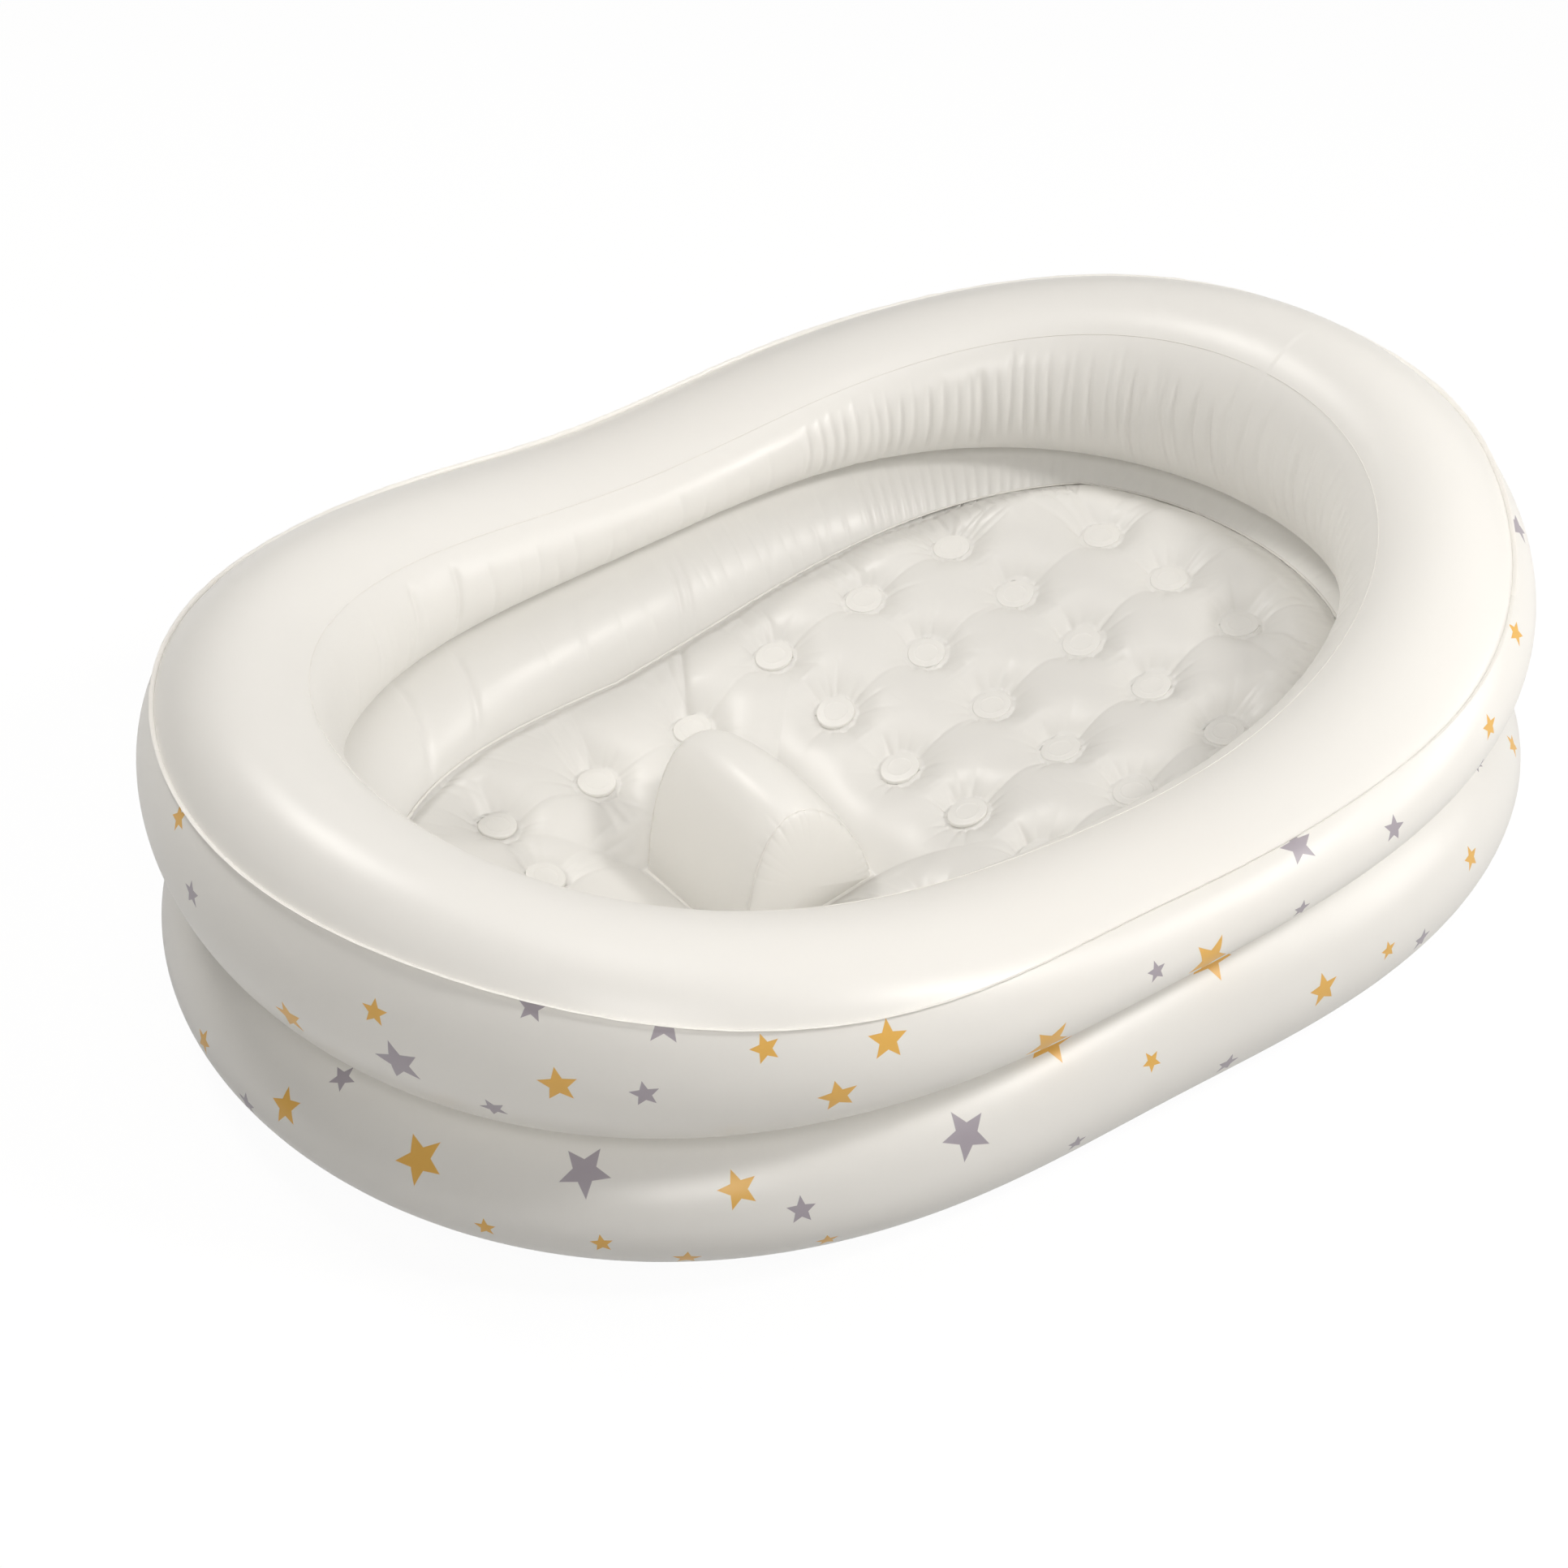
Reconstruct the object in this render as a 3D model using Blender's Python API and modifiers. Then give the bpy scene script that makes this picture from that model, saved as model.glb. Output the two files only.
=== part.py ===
"""Inflatable baby bathtub: two stacked air rings round a tufted air floor, with a saddle horn.

Metres, +Z up. The tub stands on z = 0, its length lies along X with the high head end at +X,
and the origin is under the middle of its outline. The air chambers are drawn as solids: only
the three air valves open into them.
"""

import math

import bmesh
import bpy
from mathutils import Matrix, Vector

# Rim outline: how far the rim's centre line stands from the plan's pole, as cosine waves of
# the angle round the tub. The second wave makes the length, the others the egg and the waist.
RIM_WAVES = (0.3311, -0.0229, 0.0589, -0.0063, -0.0031, 0.0017, -0.0013)
ROUND_STEPS = 64

# Air rings. Heights and offsets are cosine waves too: the ends of the rim stand high and fat,
# its sides low and flat. The tuck draws the lower ring's outer side in at the head end.
RIM_HALF_WIDTH = 0.0595
RIM_HALF_HEIGHT = (0.0524, -0.0015, 0.0192)
WALL_HALF_WIDTH = 0.069
WALL_HALF_HEIGHT = (0.0529, 0.0066, -0.0031)
WALL_OFFSET = (-0.0086, 0.0056, 0.0044)
HEAD_TUCK = 0.0055
HEAD_TUCK_ANGLE = 40.0
RING_SINK = 0.003
WEB_THICKNESS = 0.0006
WEB_HALF_WIDTH = 0.012
WEB_OFFSET = -0.004
FLAT_HALF_ANGLE = 15.0
SECTION_STEPS = 20

# Weld seams, by where they lie on the section: 0 is the outer side and 90 the top.
OUTER_SEAM_ANGLE = (43.5, 3.6, -4.0, -0.6, 3.5)
INNER_SEAM_ANGLE = (130.0, 2.0)
BASE_SEAM_ANGLE = (-66.0,)
OUTER_SEAM_LIP = (0.0028, 0.0010)
INNER_SEAM_LIP = (0.0016, 0.0010)
BASE_SEAM_LIP = (0.0025, 0.0008)
FLOOR_SEAM_LIP = (0.0022, 0.0012)

GAP = 0.0003
BASE_THICKNESS = 0.0005
BASE_OFFSET = 0.008

# Air floor. Its edge is level at the foot, rises past the fold and levels out at the head. Its
# tufts are welded on a grid, at heights given by (x, on the middle line, near the walls).
FLOOR_EDGE_HEIGHT = 0.052
FLOOR_HEAD_HEIGHT = 0.103
FLOOR_FOLD_X = -0.055
FLOOR_SLOPE = 0.143
TUFT_HEIGHTS = (
    (-0.270, 0.036, 0.040),
    (-0.190, 0.012, 0.034),
    (-0.114, 0.012, 0.036),
    (-0.038, 0.026, 0.045),
    (0.037, 0.052, 0.065),
    (0.113, 0.068, 0.080),
    (0.188, 0.086, 0.092),
    (0.264, 0.108, 0.107),
    (0.340, 0.115, 0.112),
)
MIDDLE_ROOM = 0.185
SIDE_ROOM = 0.040
FLOOR_WALL_GAP = 0.0009
FLOOR_SEAM_RISE = 0.0016
EDGE_PASSES = 5
WELL_TOP = 0.150
SKIRT_BOTTOM = -0.010
TUFT_PITCH_X = 0.0755
TUFT_PITCH_Y = 0.0672
TUFT_FIRST_X = -0.265
TUFT_COLUMNS = 8
TUFT_ROWS = (-2, -1, 0, 1, 2)
TUFT_DEPTH = 0.016
TUFT_REACH = 0.021
TUFT_EDGE_ROOM = 0.034
TUFT_HORN_ROOM = 0.030
TUFT_FITTING_ROOM = 0.035
PILLOW_START = 0.012
PILLOW_END = 0.046
FLOOR_CELLS_PER_TUFT = 4
FLOOR_SPARE_CELLS = 1

# Saddle horn. It leans to the foot, and its foot lies on a pad that slopes with the floor.
HORN_X = -0.0753
HORN_HALF_LENGTH = 0.0485
HORN_LEAN = -0.0125
HORN_LEAN_POWER = 1.65
HORN_HEIGHT = 0.0847
HORN_ROUND_POWER = 1.36
HORN_HALF_WIDTH = 0.051
HORN_PAD_HEIGHT = 0.0185
HORN_PAD_SLOPE = 0.152
HORN_PAD_MARGIN = 0.024
HORN_PAD_BLEND = 0.015
HORN_ARCH_STEPS = 14
HORN_FOOT_STEPS = 4
HORN_STATIONS = 8
HORN_SWELL = 0.004
HORN_SEAM_RADIUS = 0.0009
HORN_FLANGE = 0.0034

# Air valves: a flange on the chamber's skin with a sleeve below it, a stem that pulls out of
# the sleeve, a cap that hinges on the stem's lip, and a non-return flap at its inner end.
FLANGE_RADIUS = 0.0150
FLANGE_THICKNESS = 0.0012
FLANGE_EDGE = 0.0005
SLEEVE_INSIDE = 0.0070
SLEEVE_WALL = 0.0010
SLEEVE_DEPTH = 0.0140
STEM_OUTSIDE = 0.0066
STEM_BORE = 0.0045
STEM_LENGTH = 0.0180
VALVE_CAP = dict(radius=0.0060, thickness=0.0015, hinge=0.0065, plug=0.0042, tip=0.0031,
                 reach=0.0040, tab=0.0086, width=0.0036)
FLAP_RADIUS = 0.0052
FLAP_THICKNESS = 0.0006
FLAP_HINGE = 0.0060
FLAP_TAB_WIDTH = 0.0030
FLAP_TAB_START = 0.7
FLAP_TAB_SKIN = 0.0001
VALVE_BORE_DEPTH = 0.030
POCKET_ROOM = 0.0004
CUTTER_RISE = 0.004
CAP_EDGE = 0.0003
CAP_TAB_START = 0.6
HINGE_TAB_SKIN = 0.0002
LIFT_TAB_STEP = 0.0004
RIM_VALVE_ANGLE = 52.0
WALL_VALVE_ANGLE = 33.0
SKIN_VALVE_SINK = 0.0012
FLOOR_VALVE_AT = (-0.112, -0.128)
FLOOR_VALVE_PAD = 0.044
FLOOR_FLANGE_RISE = 0.0006
PAD_RADIUS = 0.030
PAD_BLEND = 0.012
TURN_STEPS = 20

# Drain through the floor at its lowest place, with a hinged plug.
DRAIN_AT = (-0.205, -0.045)
DRAIN_PAD = 0.022
DRAIN_BORE_DEPTH = 0.060
DRAIN_FLANGE_RADIUS = 0.0190
DRAIN_TUBE = 0.0115
DRAIN_BORE = 0.0098
DRAIN_CAP = dict(radius=0.0150, thickness=0.0020, hinge=0.0155, plug=0.0092, tip=0.0074,
                 reach=0.0075, tab=0.0195, width=0.0080)

PVC_CREAM = (0.905, 0.870, 0.825, 1.0)
PVC_CLEAR = (0.800, 0.790, 0.765, 1.0)
SOFT_ROUGHNESS = 0.32


def wave(angle, terms):
    """Sum of cosine waves of an angle in radians."""
    return sum(term * math.cos(order * angle) for order, term in enumerate(terms))


PLAN_SHIFT = (wave(math.pi, RIM_WAVES) - wave(0.0, RIM_WAVES)) / 2.0


def rim_frame(angle):
    """Point of the rim's centre line in plan, and its outward normal."""
    reach = wave(angle, RIM_WAVES)
    growth = -sum(k * c * math.sin(k * angle) for k, c in enumerate(RIM_WAVES))
    point = Vector((PLAN_SHIFT + reach * math.cos(angle), reach * math.sin(angle)))
    along_x = growth * math.cos(angle) - reach * math.sin(angle)
    along_y = growth * math.sin(angle) + reach * math.cos(angle)
    return point, Vector((along_y, -along_x)).normalized()


def ease(value):
    """Smooth step from 0 to 1."""
    value = min(1.0, max(0.0, value))
    return value * value * (3.0 - 2.0 * value)


def wall_height(angle):
    return wave(angle, WALL_HALF_HEIGHT)


def web_height(angle):
    return 2.0 * wall_height(angle) - RING_SINK / 2.0


def rim_centre(angle):
    """Height of the upper ring's middle."""
    return 2.0 * wall_height(angle) + wave(angle, RIM_HALF_HEIGHT) - RING_SINK


def ring_point(angle, tilt, half_width, half_height, middle, offset):
    """Point of a ring's section: tilt 0 is its outer side and a quarter turn its top."""
    point, normal = rim_frame(angle)
    plan = point + normal * (offset + half_width * math.cos(tilt))
    return Vector((plan.x, plan.y, middle + half_height * math.sin(tilt)))


def rim_point(angle, tilt):
    """Point of the upper ring's skin, flat on the web between the rings."""
    half_height = wave(angle, RIM_HALF_HEIGHT)
    place = ring_point(angle, tilt, RIM_HALF_WIDTH, half_height, rim_centre(angle), 0.0)
    place.z = max(place.z, web_height(angle) + WEB_THICKNESS / 2.0 + GAP)
    return place


def wall_point(angle, tilt):
    """Point of the lower ring's skin, flat below the web and on the base sheet."""
    middle = wall_height(angle)
    tuck = HEAD_TUCK * ease(1.0 - abs(math.remainder(angle, 2.0 * math.pi)) / math.radians(HEAD_TUCK_ANGLE))
    offset = wave(angle, WALL_OFFSET) - tuck
    place = ring_point(angle, tilt, WALL_HALF_WIDTH - tuck, middle, middle, offset)
    place.z = min(place.z, web_height(angle) - WEB_THICKNESS / 2.0 - GAP)
    place.z = max(place.z, BASE_THICKNESS + GAP)
    return place


def skin_normal(skin, angle, tilt):
    """Unit normal of a ring's skin within its section."""
    step = math.radians(1.0)
    along = skin(angle, tilt + step) - skin(angle, tilt - step)
    _, outward = rim_frame(angle)
    across = along.x * outward.x + along.y * outward.y
    length = math.hypot(across, along.z)
    return Vector((outward.x * along.z, outward.y * along.z, -across)) / length


def share(stops, turn):
    """Reads a list of (angle, steps) stops as one angle for each of the section's points."""
    start = stops[0][0]
    for end, steps in stops[1:]:
        if turn <= steps:
            return start + (end - start) * turn / steps
        turn -= steps
        start = end
    return start


def rim_tilt(angle, turn):
    """Section angle of the upper ring's point number turn, with points on both seams."""
    outer = wave(angle, OUTER_SEAM_ANGLE)
    stops = [
        (outer, 0),
        (wave(angle, INNER_SEAM_ANGLE), 6),
        (270.0 - FLAT_HALF_ANGLE, 6),
        (270.0 + FLAT_HALF_ANGLE, 2),
        (360.0 + outer, 6),
    ]
    return math.radians(share(stops, turn))


def wall_tilt(angle, turn):
    """Section angle of the lower ring's point number turn, with flats at top and bottom."""
    stops = [
        (90.0 - FLAT_HALF_ANGLE, 0),
        (90.0 + FLAT_HALF_ANGLE, 2),
        (270.0 - FLAT_HALF_ANGLE, 8),
        (270.0 + FLAT_HALF_ANGLE, 2),
        (450.0 - FLAT_HALF_ANGLE, 8),
    ]
    return math.radians(share(stops, turn))


def clear_scene():
    for obj in list(bpy.data.objects):
        bpy.data.objects.remove(obj, do_unlink=True)


def make_collection(name):
    collection = bpy.data.collections.new(name)
    bpy.context.scene.collection.children.link(collection)
    return collection


def make_material(name, colour, roughness):
    material = bpy.data.materials.new(name)
    material.use_nodes = True
    shader = material.node_tree.nodes["Principled BSDF"]
    shader.inputs["Base Color"].default_value = colour
    shader.inputs["Roughness"].default_value = roughness
    shader.inputs["Metallic"].default_value = 0.0
    return material


def finish_mesh(bm, name, material, collection, sharp_degrees=35.0):
    """Turns a bmesh into a named, smooth-shaded object of the tub."""
    if bm.calc_volume(signed=True) < 0.0:
        bmesh.ops.reverse_faces(bm, faces=bm.faces)
    mesh = bpy.data.meshes.new(name)
    bm.to_mesh(mesh)
    bm.free()
    mesh.shade_smooth()
    mesh.set_sharp_from_angle(angle=math.radians(sharp_degrees))
    mesh.materials.append(material)
    obj = bpy.data.objects.new(name, mesh)
    collection.objects.link(obj)
    return obj


def make_loop(name, minor_steps, place, material, collection, major_steps=ROUND_STEPS):
    """A torus whose points are moved to place(angle, number of the point in the section)."""
    bpy.ops.mesh.primitive_torus_add(
        major_segments=major_steps, minor_segments=minor_steps, major_radius=1.0, minor_radius=0.25
    )
    torus = bpy.context.object
    bm = bmesh.new()
    bm.from_mesh(torus.data)
    bpy.data.objects.remove(torus, do_unlink=True)
    for vert in bm.verts:
        angle = math.atan2(vert.co.y, vert.co.x)
        turn = math.atan2(vert.co.z, math.hypot(vert.co.x, vert.co.y) - 1.0)
        number = round(turn * minor_steps / (2.0 * math.pi)) % minor_steps
        vert.co = place(angle, number)
    return finish_mesh(bm, name, material, collection)


def make_loft(name, steps, rings, place, material, collection):
    """A sphere whose points are moved to place(angle, share of the way from pole to pole).

    The angle is None at the two poles.
    """
    bm = bmesh.new()
    bmesh.ops.create_uvsphere(bm, u_segments=steps, v_segments=rings + 1, radius=1.0)
    for vert in bm.verts:
        ring = round(math.acos(max(-1.0, min(1.0, vert.co.z))) * (rings + 1) / math.pi)
        pole = ring in (0, rings + 1)
        angle = None if pole else math.atan2(vert.co.y, vert.co.x)
        vert.co = place(angle, ring / (rings + 1.0))
    return finish_mesh(bm, name, material, collection)


def make_lip(name, skin, tilt_terms, lip, material, collection):
    """A weld lip that stands off a ring's skin all the way round."""
    height, thickness = lip

    def place(angle, number):
        tilt = math.radians(wave(angle, tilt_terms))
        normal = skin_normal(skin, angle, tilt)
        _, outward = rim_frame(angle)
        level = normal.x * outward.x + normal.y * outward.y
        along = Vector((-outward.x * normal.z, -outward.y * normal.z, level))
        rise = GAP + (height if number in (0, 1) else 0.0)
        side = thickness / 2.0 if number in (1, 2) else -thickness / 2.0
        return skin(angle, tilt) + normal * rise + along * side

    return make_loop(name, 4, place, material, collection)


def edge_height(x):
    """Height of the floor's edge: level at both ends, rising between them."""
    return min(FLOOR_HEAD_HEIGHT, FLOOR_EDGE_HEIGHT + FLOOR_SLOPE * max(0.0, x - FLOOR_FOLD_X))


def floor_edge(angle):
    """Point of the lower ring's inner skin where the floor meets it."""
    place = wall_point(angle, math.pi)
    for _ in range(EDGE_PASSES):
        rise = edge_height(place.x) / wall_height(angle) - 1.0
        place = wall_point(angle, math.pi - math.asin(min(1.0, max(0.0, rise))))
    place.z = edge_height(place.x)
    return place


def edge_stations():
    """Points of the floor's edge all round, each with the rim's outward normal there."""
    angles = [2.0 * math.pi * number / ROUND_STEPS for number in range(ROUND_STEPS)]
    return [(floor_edge(angle), rim_frame(angle)[1]) for angle in angles]


FLOOR_EDGE = edge_stations()


def edge_room(x, y):
    """How far inside the floor's edge a point lies, measured square to the nearest station."""
    edge, normal = min(FLOOR_EDGE, key=lambda station: math.dist((x, y), station[0][:2]))
    return (edge.x - x) * normal.x + (edge.y - y) * normal.y


def horn_room(x, y):
    """How far outside the horn's foot a point lies."""
    return max(abs(x - HORN_X) - HORN_HALF_LENGTH, abs(y) - HORN_HALF_WIDTH)


def tuft_centres():
    """The grid of tufts, without those under the horn, the valve, the drain or the wall."""
    keep = []
    for column in range(TUFT_COLUMNS):
        for row in TUFT_ROWS:
            x = TUFT_FIRST_X + column * TUFT_PITCH_X
            y = row * TUFT_PITCH_Y
            by_fitting = any(
                math.dist((x, y), at) < TUFT_FITTING_ROOM for at in (FLOOR_VALVE_AT, DRAIN_AT)
            )
            by_wall = edge_room(x, y) < TUFT_EDGE_ROOM
            if not by_fitting and not by_wall and horn_room(x, y) > TUFT_HORN_ROOM:
                keep.append((x, y))
    return keep


def tuft_height(x, room):
    """Height of a tuft's weld, between the middle line and the walls."""
    x = min(TUFT_HEIGHTS[-1][0], max(TUFT_HEIGHTS[0][0], x))
    for low, high in zip(TUFT_HEIGHTS, TUFT_HEIGHTS[1:]):
        if x <= high[0]:
            along = (x - low[0]) / (high[0] - low[0])
            middle, side = (low[i] + (high[i] - low[i]) * along for i in (1, 2))
            return middle + (side - middle) * ease((MIDDLE_ROOM - room) / (MIDDLE_ROOM - SIDE_ROOM))


def floor_height(x, y, tufts):
    """Top of the air floor: pillows between tufts, and level pads under what stands on it."""
    room = edge_room(x, y)
    height = edge_height(x)
    pillow = tuft_height(x, room) + TUFT_DEPTH
    height += (pillow - height) * ease((room - PILLOW_START) / (PILLOW_END - PILLOW_START))
    dips = sum(math.exp(-((x - tx) ** 2 + (y - ty) ** 2) / TUFT_REACH**2) for tx, ty in tufts)
    height -= TUFT_DEPTH * min(1.0, dips)
    on_pad = ease(1.0 - (horn_room(x, y) - HORN_PAD_MARGIN) / HORN_PAD_BLEND)
    height += (horn_pad(x) - height) * on_pad
    for at, pad in ((FLOOR_VALVE_AT, FLOOR_VALVE_PAD), (DRAIN_AT, DRAIN_PAD)):
        on_pad = ease(1.0 - (math.dist((x, y), at) - PAD_RADIUS) / PAD_BLEND)
        height += (pad - height) * on_pad
    return height


def horn_pad(x):
    """Height of the sloping pad that the horn is welded to."""
    return HORN_PAD_HEIGHT + HORN_PAD_SLOPE * (x - HORN_X)


def hide_cutter(obj):
    obj.hide_render = True
    obj.display_type = "WIRE"


def add_boolean(obj, other, operation):
    modifier = obj.modifiers.new(other.name, "BOOLEAN")
    modifier.operation = operation
    modifier.solver = "EXACT"
    modifier.object = other


def make_well(material, cutters):
    """Cutter with the shape of the room inside the lower ring."""
    numbers = (6, 6, 5, 4, 3, 2)

    def place(angle, along):
        level = round(along * (len(numbers) + 1)) - 1
        if angle is None:
            return Vector((PLAN_SHIFT, 0.0, BASE_THICKNESS + GAP if level < 0 else WELL_TOP))
        _, normal = rim_frame(angle)
        point = wall_point(angle, wall_tilt(angle, numbers[level]))
        if level == 0:
            point.z = BASE_THICKNESS + GAP
        return point - Vector((normal.x, normal.y, 0.0)) * FLOOR_WALL_GAP

    well = make_loft("floor_well", ROUND_STEPS, len(numbers), place, material, cutters)
    hide_cutter(well)
    return well


def make_cylinder(name, radius, low, high, matrix, material, cutters):
    """Round cutter between two heights of a local frame."""
    bm = bmesh.new()
    depth = high - low
    bmesh.ops.create_cone(
        bm, cap_ends=True, segments=TURN_STEPS, radius1=radius, radius2=radius, depth=depth
    )
    bmesh.ops.translate(bm, vec=(0.0, 0.0, (low + high) / 2.0), verts=bm.verts)
    obj = finish_mesh(bm, name, material, cutters)
    obj.matrix_world = matrix
    hide_cutter(obj)
    return obj


def make_block(name, low, high, matrix, material, cutters):
    """A box between two corners of a local frame, to be joined to a turned piece."""
    bm = bmesh.new()
    bmesh.ops.create_cube(bm, size=1.0)
    for vert in bm.verts:
        vert.co = Vector([high[i] if vert.co[i] > 0.0 else low[i] for i in range(3)])
    obj = finish_mesh(bm, name, material, cutters)
    obj.matrix_world = matrix
    hide_cutter(obj)
    return obj


def make_turned(name, profile, matrix, material, parts, closed):
    """A profile of (radius, height) points turned about the local Z axis."""
    mesh = bpy.data.meshes.new(name)
    edges = [(i, i + 1) for i in range(len(profile) - 1)]
    if closed:
        edges.append((len(profile) - 1, 0))
    mesh.from_pydata([(radius, 0.0, height) for radius, height in profile], edges, [])
    mesh.materials.append(material)
    obj = bpy.data.objects.new(name, mesh)
    parts.objects.link(obj)
    obj.matrix_world = matrix
    screw = obj.modifiers.new("turn", "SCREW")
    screw.steps = TURN_STEPS
    screw.render_steps = TURN_STEPS
    screw.use_merge_vertices = True
    screw.merge_threshold = 0.00001
    return obj


def hang_on_hinge(obj, hinge):
    """Puts a piece under an empty that stands on its hinge."""
    empty = bpy.data.objects.new(obj.name + "_hinge", None)
    empty.empty_display_size = 0.01
    bpy.context.scene.collection.objects.link(empty)
    empty.matrix_world = hinge
    bpy.context.view_layer.update()
    obj.parent = empty
    obj.matrix_parent_inverse = hinge.inverted()


def make_ring(name, skin, tilt, material, parts):
    return make_loop(
        name, SECTION_STEPS, lambda angle, number: skin(angle, tilt(angle, number)), material, parts
    )


def make_web(material, parts):
    """The welded web between the two rings."""

    def place(angle, number):
        point, normal = rim_frame(angle)
        side = WEB_HALF_WIDTH if number in (0, 3) else -WEB_HALF_WIDTH
        rise = WEB_THICKNESS / 2.0 if number in (0, 1) else -WEB_THICKNESS / 2.0
        plan = point + normal * (WEB_OFFSET + side)
        return Vector((plan.x, plan.y, web_height(angle) + rise))

    return make_loop("ring_divider", 4, place, material, parts)


def make_base(material, parts):
    """The bottom sheet, with the drain's hole in it."""
    curve = bpy.data.curves.new("base_sheet", "CURVE")
    curve.dimensions = "2D"
    curve.fill_mode = "BOTH"
    curve.extrude = BASE_THICKNESS / 2.0
    outline = curve.splines.new("POLY")
    outline.points.add(ROUND_STEPS - 1)
    for number, point in enumerate(outline.points):
        place, normal = rim_frame(2.0 * math.pi * number / ROUND_STEPS)
        plan = place + normal * BASE_OFFSET
        point.co = (plan.x, plan.y, 0.0, 1.0)
    hole = curve.splines.new("POLY")
    hole.points.add(TURN_STEPS - 1)
    for number, point in enumerate(hole.points):
        turn = 2.0 * math.pi * number / TURN_STEPS
        reach = DRAIN_TUBE + GAP
        point.co = (DRAIN_AT[0] + reach * math.cos(turn), DRAIN_AT[1] + reach * math.sin(turn), 0.0, 1.0)
    outline.use_cyclic_u = True
    hole.use_cyclic_u = True
    curve.materials.append(material)
    obj = bpy.data.objects.new("base_sheet", curve)
    obj.location.z = BASE_THICKNESS / 2.0
    parts.objects.link(obj)
    return obj


def make_floor(material, parts, cutters):
    """The tufted air floor, cut to the room inside the lower ring."""
    tufts = tuft_centres()
    columns = (TUFT_COLUMNS + 1) * FLOOR_CELLS_PER_TUFT + FLOOR_SPARE_CELLS
    rows = (len(TUFT_ROWS) + 1) * FLOOR_CELLS_PER_TUFT
    first_x = TUFT_FIRST_X - TUFT_PITCH_X
    first_y = (TUFT_ROWS[0] - 1) * TUFT_PITCH_Y
    bm = bmesh.new()
    bmesh.ops.create_grid(bm, x_segments=columns, y_segments=rows, size=1.0)
    for vert in bm.verts:
        x = first_x + (vert.co.x + 1.0) / 2.0 * columns * TUFT_PITCH_X / FLOOR_CELLS_PER_TUFT
        y = first_y + (vert.co.y + 1.0) / 2.0 * rows * TUFT_PITCH_Y / FLOOR_CELLS_PER_TUFT
        vert.co = (x, y, floor_height(x, y, tufts))
    skirt = bmesh.ops.extrude_face_region(bm, geom=list(bm.faces))["geom"]
    for item in skirt:
        if isinstance(item, bmesh.types.BMVert):
            item.co.z = SKIRT_BOTTOM
    floor = finish_mesh(bm, "floor_cushion", material, parts)
    add_boolean(floor, make_well(material, cutters), "INTERSECT")
    return floor


def make_floor_seam(material, parts):
    """The weld lip along the floor's edge, on the inner wall."""
    reach, thickness = FLOOR_SEAM_LIP

    def place(angle, number):
        _, normal = rim_frame(angle)
        out = FLOOR_WALL_GAP + (0.0 if number in (0, 3) else reach)
        point = floor_edge(angle) - Vector((normal.x, normal.y, 0.0)) * out
        point.z += FLOOR_SEAM_RISE + (thickness if number in (0, 1) else 0.0)
        return point

    return make_loop("floor_seam", 4, place, material, parts)


def arch_point(turn, grow=0.0):
    """Point of the horn's arch in X and Z: turn 0 is its head side, pi its foot side."""
    rise = max(0.0, math.sin(turn))
    foot_x = HORN_X + (HORN_HALF_LENGTH + grow) * math.cos(turn)
    z = horn_pad(foot_x) + GAP + (HORN_HEIGHT + grow) * rise**HORN_ROUND_POWER
    return foot_x + HORN_LEAN * rise**HORN_LEAN_POWER, z


def make_horn(material, parts):
    """The loaf-shaped horn: an arch drawn along Y, fuller in the middle."""
    steps = HORN_ARCH_STEPS + HORN_FOOT_STEPS

    def place(angle, along):
        y = (2.0 * (along * (HORN_STATIONS + 1) - 1.0) / (HORN_STATIONS - 1) - 1.0) * HORN_HALF_WIDTH
        if angle is None:
            y = math.copysign(HORN_HALF_WIDTH, y)
            return Vector((HORN_X + HORN_LEAN / 2.0, y, HORN_PAD_HEIGHT + HORN_HEIGHT / 2.0))
        number = round(angle * steps / (2.0 * math.pi)) % steps
        if number <= HORN_ARCH_STEPS:
            turn = math.pi * number / HORN_ARCH_STEPS
            swell = HORN_SWELL * math.sin(turn) * (1.0 - (y / HORN_HALF_WIDTH) ** 2)
            x, z = arch_point(turn, swell)
            return Vector((x, y, z))
        back = (number - HORN_ARCH_STEPS) / HORN_FOOT_STEPS
        x = HORN_X + (2.0 * back - 1.0) * HORN_HALF_LENGTH
        return Vector((x, y, horn_pad(x) + GAP))

    return make_loft("saddle_horn", steps, HORN_STATIONS, place, material, parts)


def make_horn_seam(name, y, material, parts):
    """The weld bead round one end panel of the horn."""
    curve = bpy.data.curves.new(name, "CURVE")
    curve.dimensions = "3D"
    curve.bevel_depth = HORN_SEAM_RADIUS
    curve.bevel_resolution = 1
    curve.use_fill_caps = True
    spline = curve.splines.new("POLY")
    spline.points.add(HORN_ARCH_STEPS - 2)
    for number, point in enumerate(spline.points):
        x, z = arch_point(math.pi * (number + 1) / HORN_ARCH_STEPS, HORN_SEAM_RADIUS + 3.0 * GAP)
        point.co = (x, y, z, 1.0)
    curve.materials.append(material)
    obj = bpy.data.objects.new(name, curve)
    parts.objects.link(obj)
    return obj


def make_horn_flange(material, parts):
    """The weld flange that holds the horn's foot to the floor."""

    def place(angle, number):
        grow = 2.0 * GAP + (HORN_FLANGE if number in (0, 3) else 0.0)
        across, up = math.cos(angle), math.sin(angle)
        scale = 1.0 / max(abs(across), abs(up))
        x = HORN_X + (HORN_HALF_LENGTH + grow) * across * scale
        y = (HORN_HALF_WIDTH + grow) * up * scale
        low = horn_pad(x) + GAP
        return Vector((x, y, low + (BASE_THICKNESS if number in (0, 1) else 0.0)))

    return make_loop("horn_base_seam", 4, place, material, parts, major_steps=32)


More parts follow.
